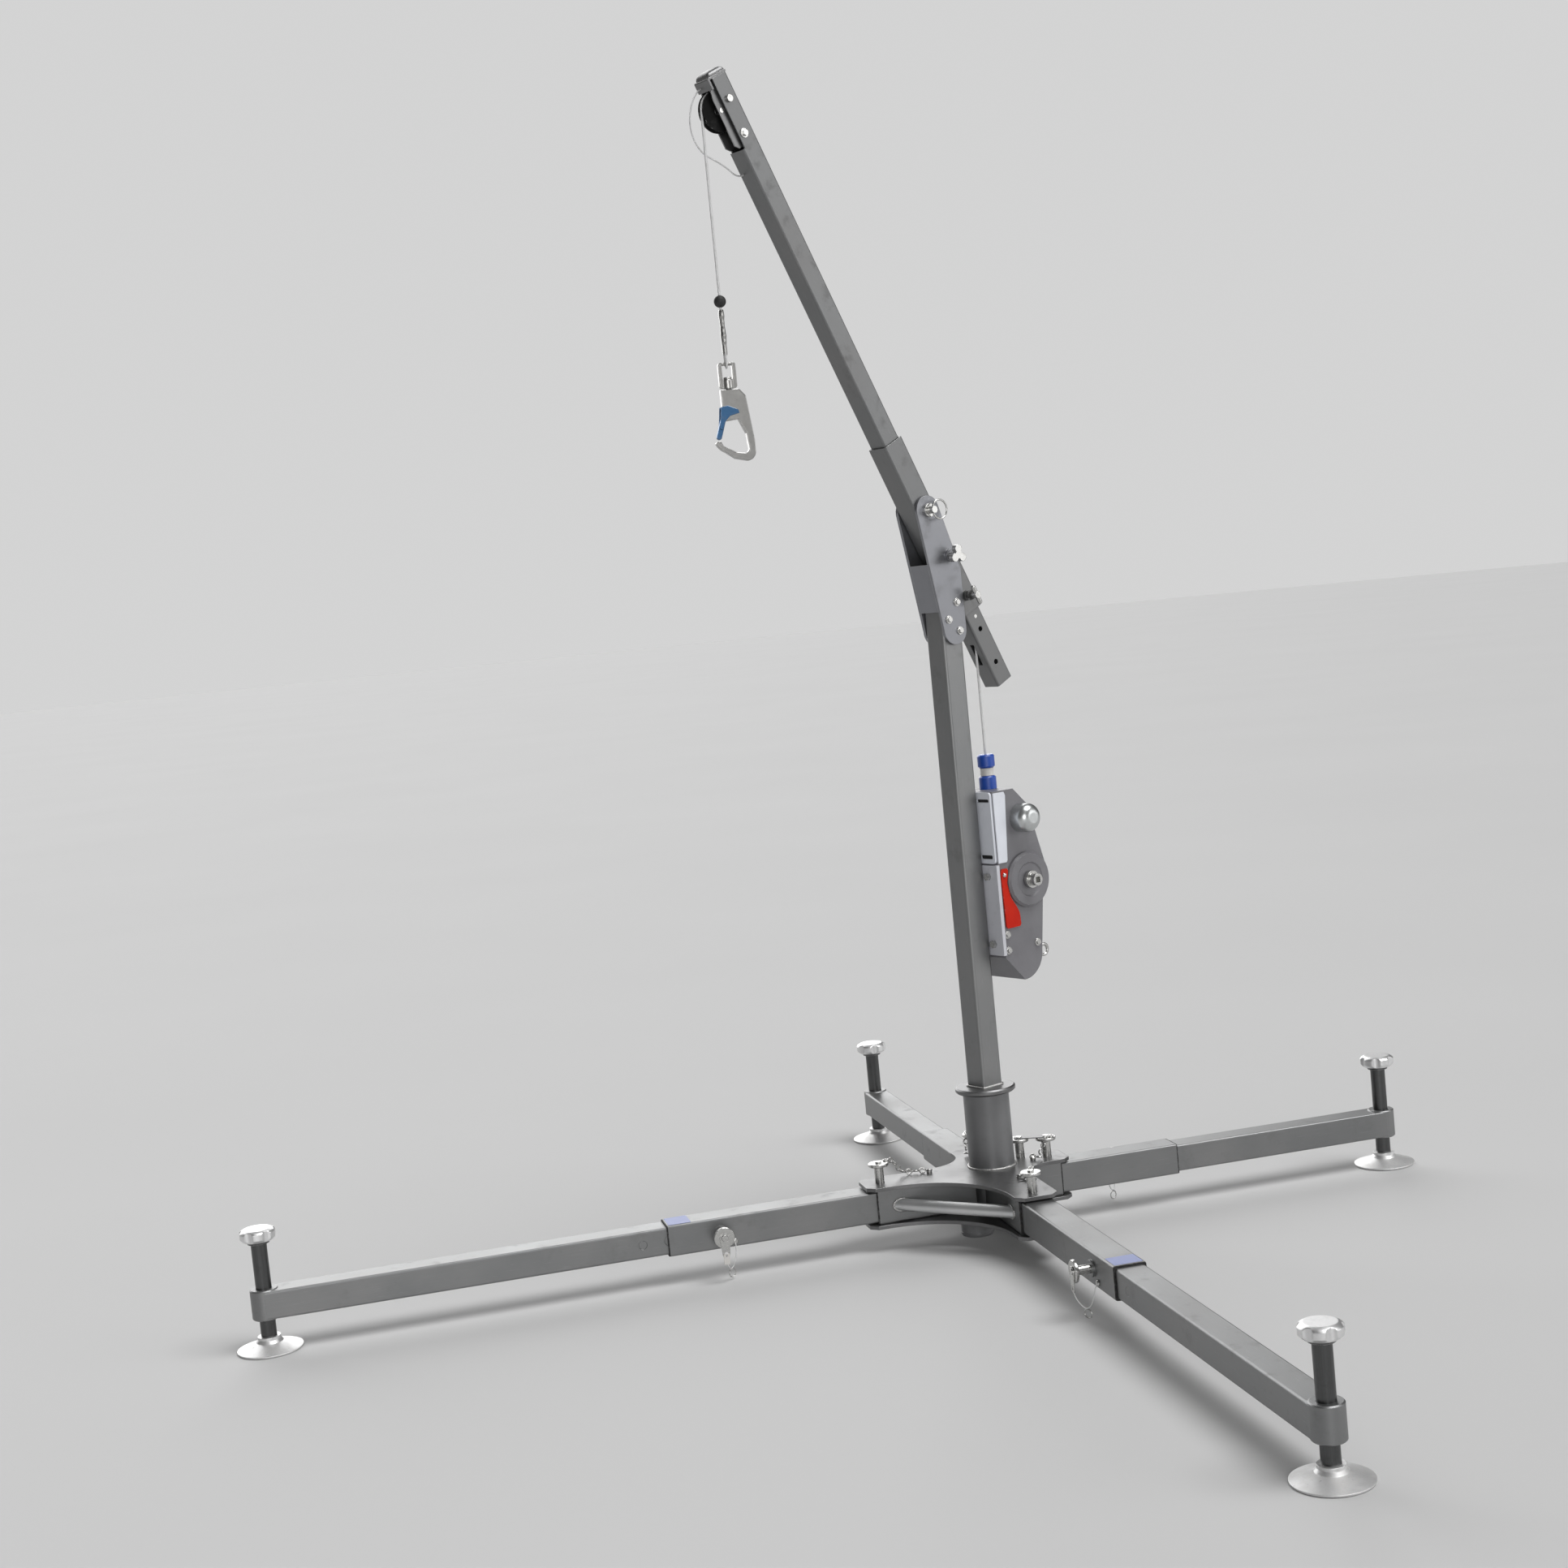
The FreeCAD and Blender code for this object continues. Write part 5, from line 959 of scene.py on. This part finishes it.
lathe("guide_neck", [(neck_r - 0.003, neck_low + 0.0002), (neck_r + 0.0012, neck_low + 0.0006),
                     (neck_r + 0.0008, (neck_low + neck_high) / 2), (neck_r + 0.0012, neck_high - 0.0006),
                     (neck_r - 0.003, neck_high - 0.0002)],
      [MAST @ moved(ROPE_X, 0, 0)], 32, white_moulding, "mast")

# Plain plates on the mast's far side and the long legs
plate("mast_side_plate", [rounded_box(0.036, 0.195, 0.003, (0, -0.6775))], 0.0026,
      [MAST @ FAR_SIDE @ moved(0, 0, MAST_HALF)], cheek_plate, "mast")
for leg in ("left", "front"):
    plate("leg_mark_" + leg, [rounded_box(0.044, 0.052, 0.003, (LEGS[leg].outer_end - 0.024, 0))], 0.0004,
          [LEG[leg] @ moved(0, 0, LEG_AXIS_Z + LEG_OUTER / 2)], blue_mark, "base")

# Rounded crown on the boom's head cap
bm = bmesh.new()
rows = []
for rise, inset in CROWN:
    spots = rounded_box(2 * (BOOM_HALF - inset), 2 * (BOOM_HALF - inset), 0.004)
    rows.append([bm.verts.new(BOOM @ Vector((x, y, HEAD_TOP + rise))) for x, y in spots])
skin(bm, rows)
piece("head_crown", bm, head_plate, "boom")

# Blue side plates of the hook's gate
at_hook = moved(fall_spot.x, fall_spot.y, HOOK_TOP) @ NEAR_SIDE
gate_side = [(-0.0185, -0.031), (-0.006, -0.029), (0.013, -0.037), (0.0145, -0.0435), (-0.003, -0.0475),
             (-0.012, -0.056), (-0.0185, -0.071), (-0.0235, -0.069), (-0.0205, -0.048)]
plate("gate_sides", [gate_side], GATE_SIDE_T,
      [at_hook @ moved(0, 0, out) for out in (HOOK_HALF_T + 0.0002, -HOOK_HALF_T - 0.0014)],
      blue_anodised, "gate")

# Threaded body of the boom's plunger
profile = [(THREAD_BORE, -0.0005), (THREAD_R, -0.0005)]
for n in range(6):
    profile += [(THREAD_R, THREAD_PITCH * (n + 0.5)), (THREAD_ROOT, THREAD_PITCH * (n + 1))]
profile += [(THREAD_ROOT, THREAD_END), (THREAD_BORE, THREAD_END)]
lathe("plunger_body", profile, [BOOM @ NEAR_SIDE @ moved(0, PLUNGER_AT, PLUNGER_BOSS_FACE)], 32,
      bearing_plastic, "holder")


# Studio: one pale floor, soft lamps and the camera
def studio():
    """Level floor in a faintly clouded pale grey."""
    floor = Finish("studio_floor", None, Roughness=0.85)
    cloud = floor.noise(0.6, 2.0)
    floor.tree.links.new(floor.mix(cloud, grey(0.55), grey(0.58)).socket, floor.shader.inputs["Base Color"])
    bm = bmesh.new()
    bmesh.ops.create_circle(bm, cap_ends=True, segments=96, radius=FLOOR_R)
    ground = piece("studio_floor", bm, floor.material)


def lamp(name, at, target, spread, power):
    """Distant soft lamp, seen from the target in the direction of its place."""
    light = bpy.data.lights.new(name, "SUN")
    light.angle = radians(spread)
    light.energy = power
    holder = bpy.data.objects.new(name, light)
    holder.location = at
    holder.rotation_euler = (Vector(target) - Vector(at)).to_track_quat("-Z", "Y").to_euler()
    bpy.context.scene.collection.objects.link(holder)


def camera():
    """Camera from the photograph's edges: place, direction and field of view."""
    pitch, roll, yaw = CAMERA_PITCH, CAMERA_ROLL, CAMERA_YAW
    ahead = Vector((sin(yaw) * cos(pitch), cos(yaw) * cos(pitch), sin(pitch)))
    right = Vector((cos(yaw), -sin(yaw), 0))
    up = right.cross(ahead)
    across = cos(roll) * right + sin(roll) * up
    upward = cos(roll) * up - sin(roll) * right
    data = bpy.data.cameras.new("camera")
    data.sensor_width = SENSOR_W
    data.lens = FOCAL_SHARE * SENSOR_W
    data.clip_end = 100.0
    holder = bpy.data.objects.new("camera", data)
    holder.matrix_world = Matrix((across, upward, -ahead)).transposed().to_4x4()
    holder.location = CAMERA_AT
    bpy.context.scene.collection.objects.link(holder)
    bpy.context.scene.camera = holder


studio()
lamp("side_lamp", (5.0, -2.6, 1.6), (0, 0, 0.8), 40, 0.8)
lamp("key_lamp", (1.6, -1.2, 5.0), (0, 0, 0.8), 35, 2.0)
lamp("fill_lamp", (-0.7, -4.6, 1.5), (0, 0, 0.9), 30, 0.9)
lamp("back_lamp", (-0.6, 5.0, 2.6), (0, 0, 0.6), 60, 2.0)
world = bpy.data.worlds.new("studio_light")
world.use_nodes = True
sky = Nodes(world.node_tree)
seen = sky.add("ShaderNodeLightPath", {}, {}, "Is Camera Ray")
tone = sky.add("ShaderNodeMix", {"data_type": "RGBA"}, {0: seen, 6: grey(0.10), 7: grey(0.655)}, 2)
sky.tree.links.new(tone.socket, sky.tree.nodes["Background"].inputs["Color"])
bpy.context.scene.world = world
bpy.context.scene.view_settings.view_transform = "Standard"
camera()

bpy.context.view_layer.update()
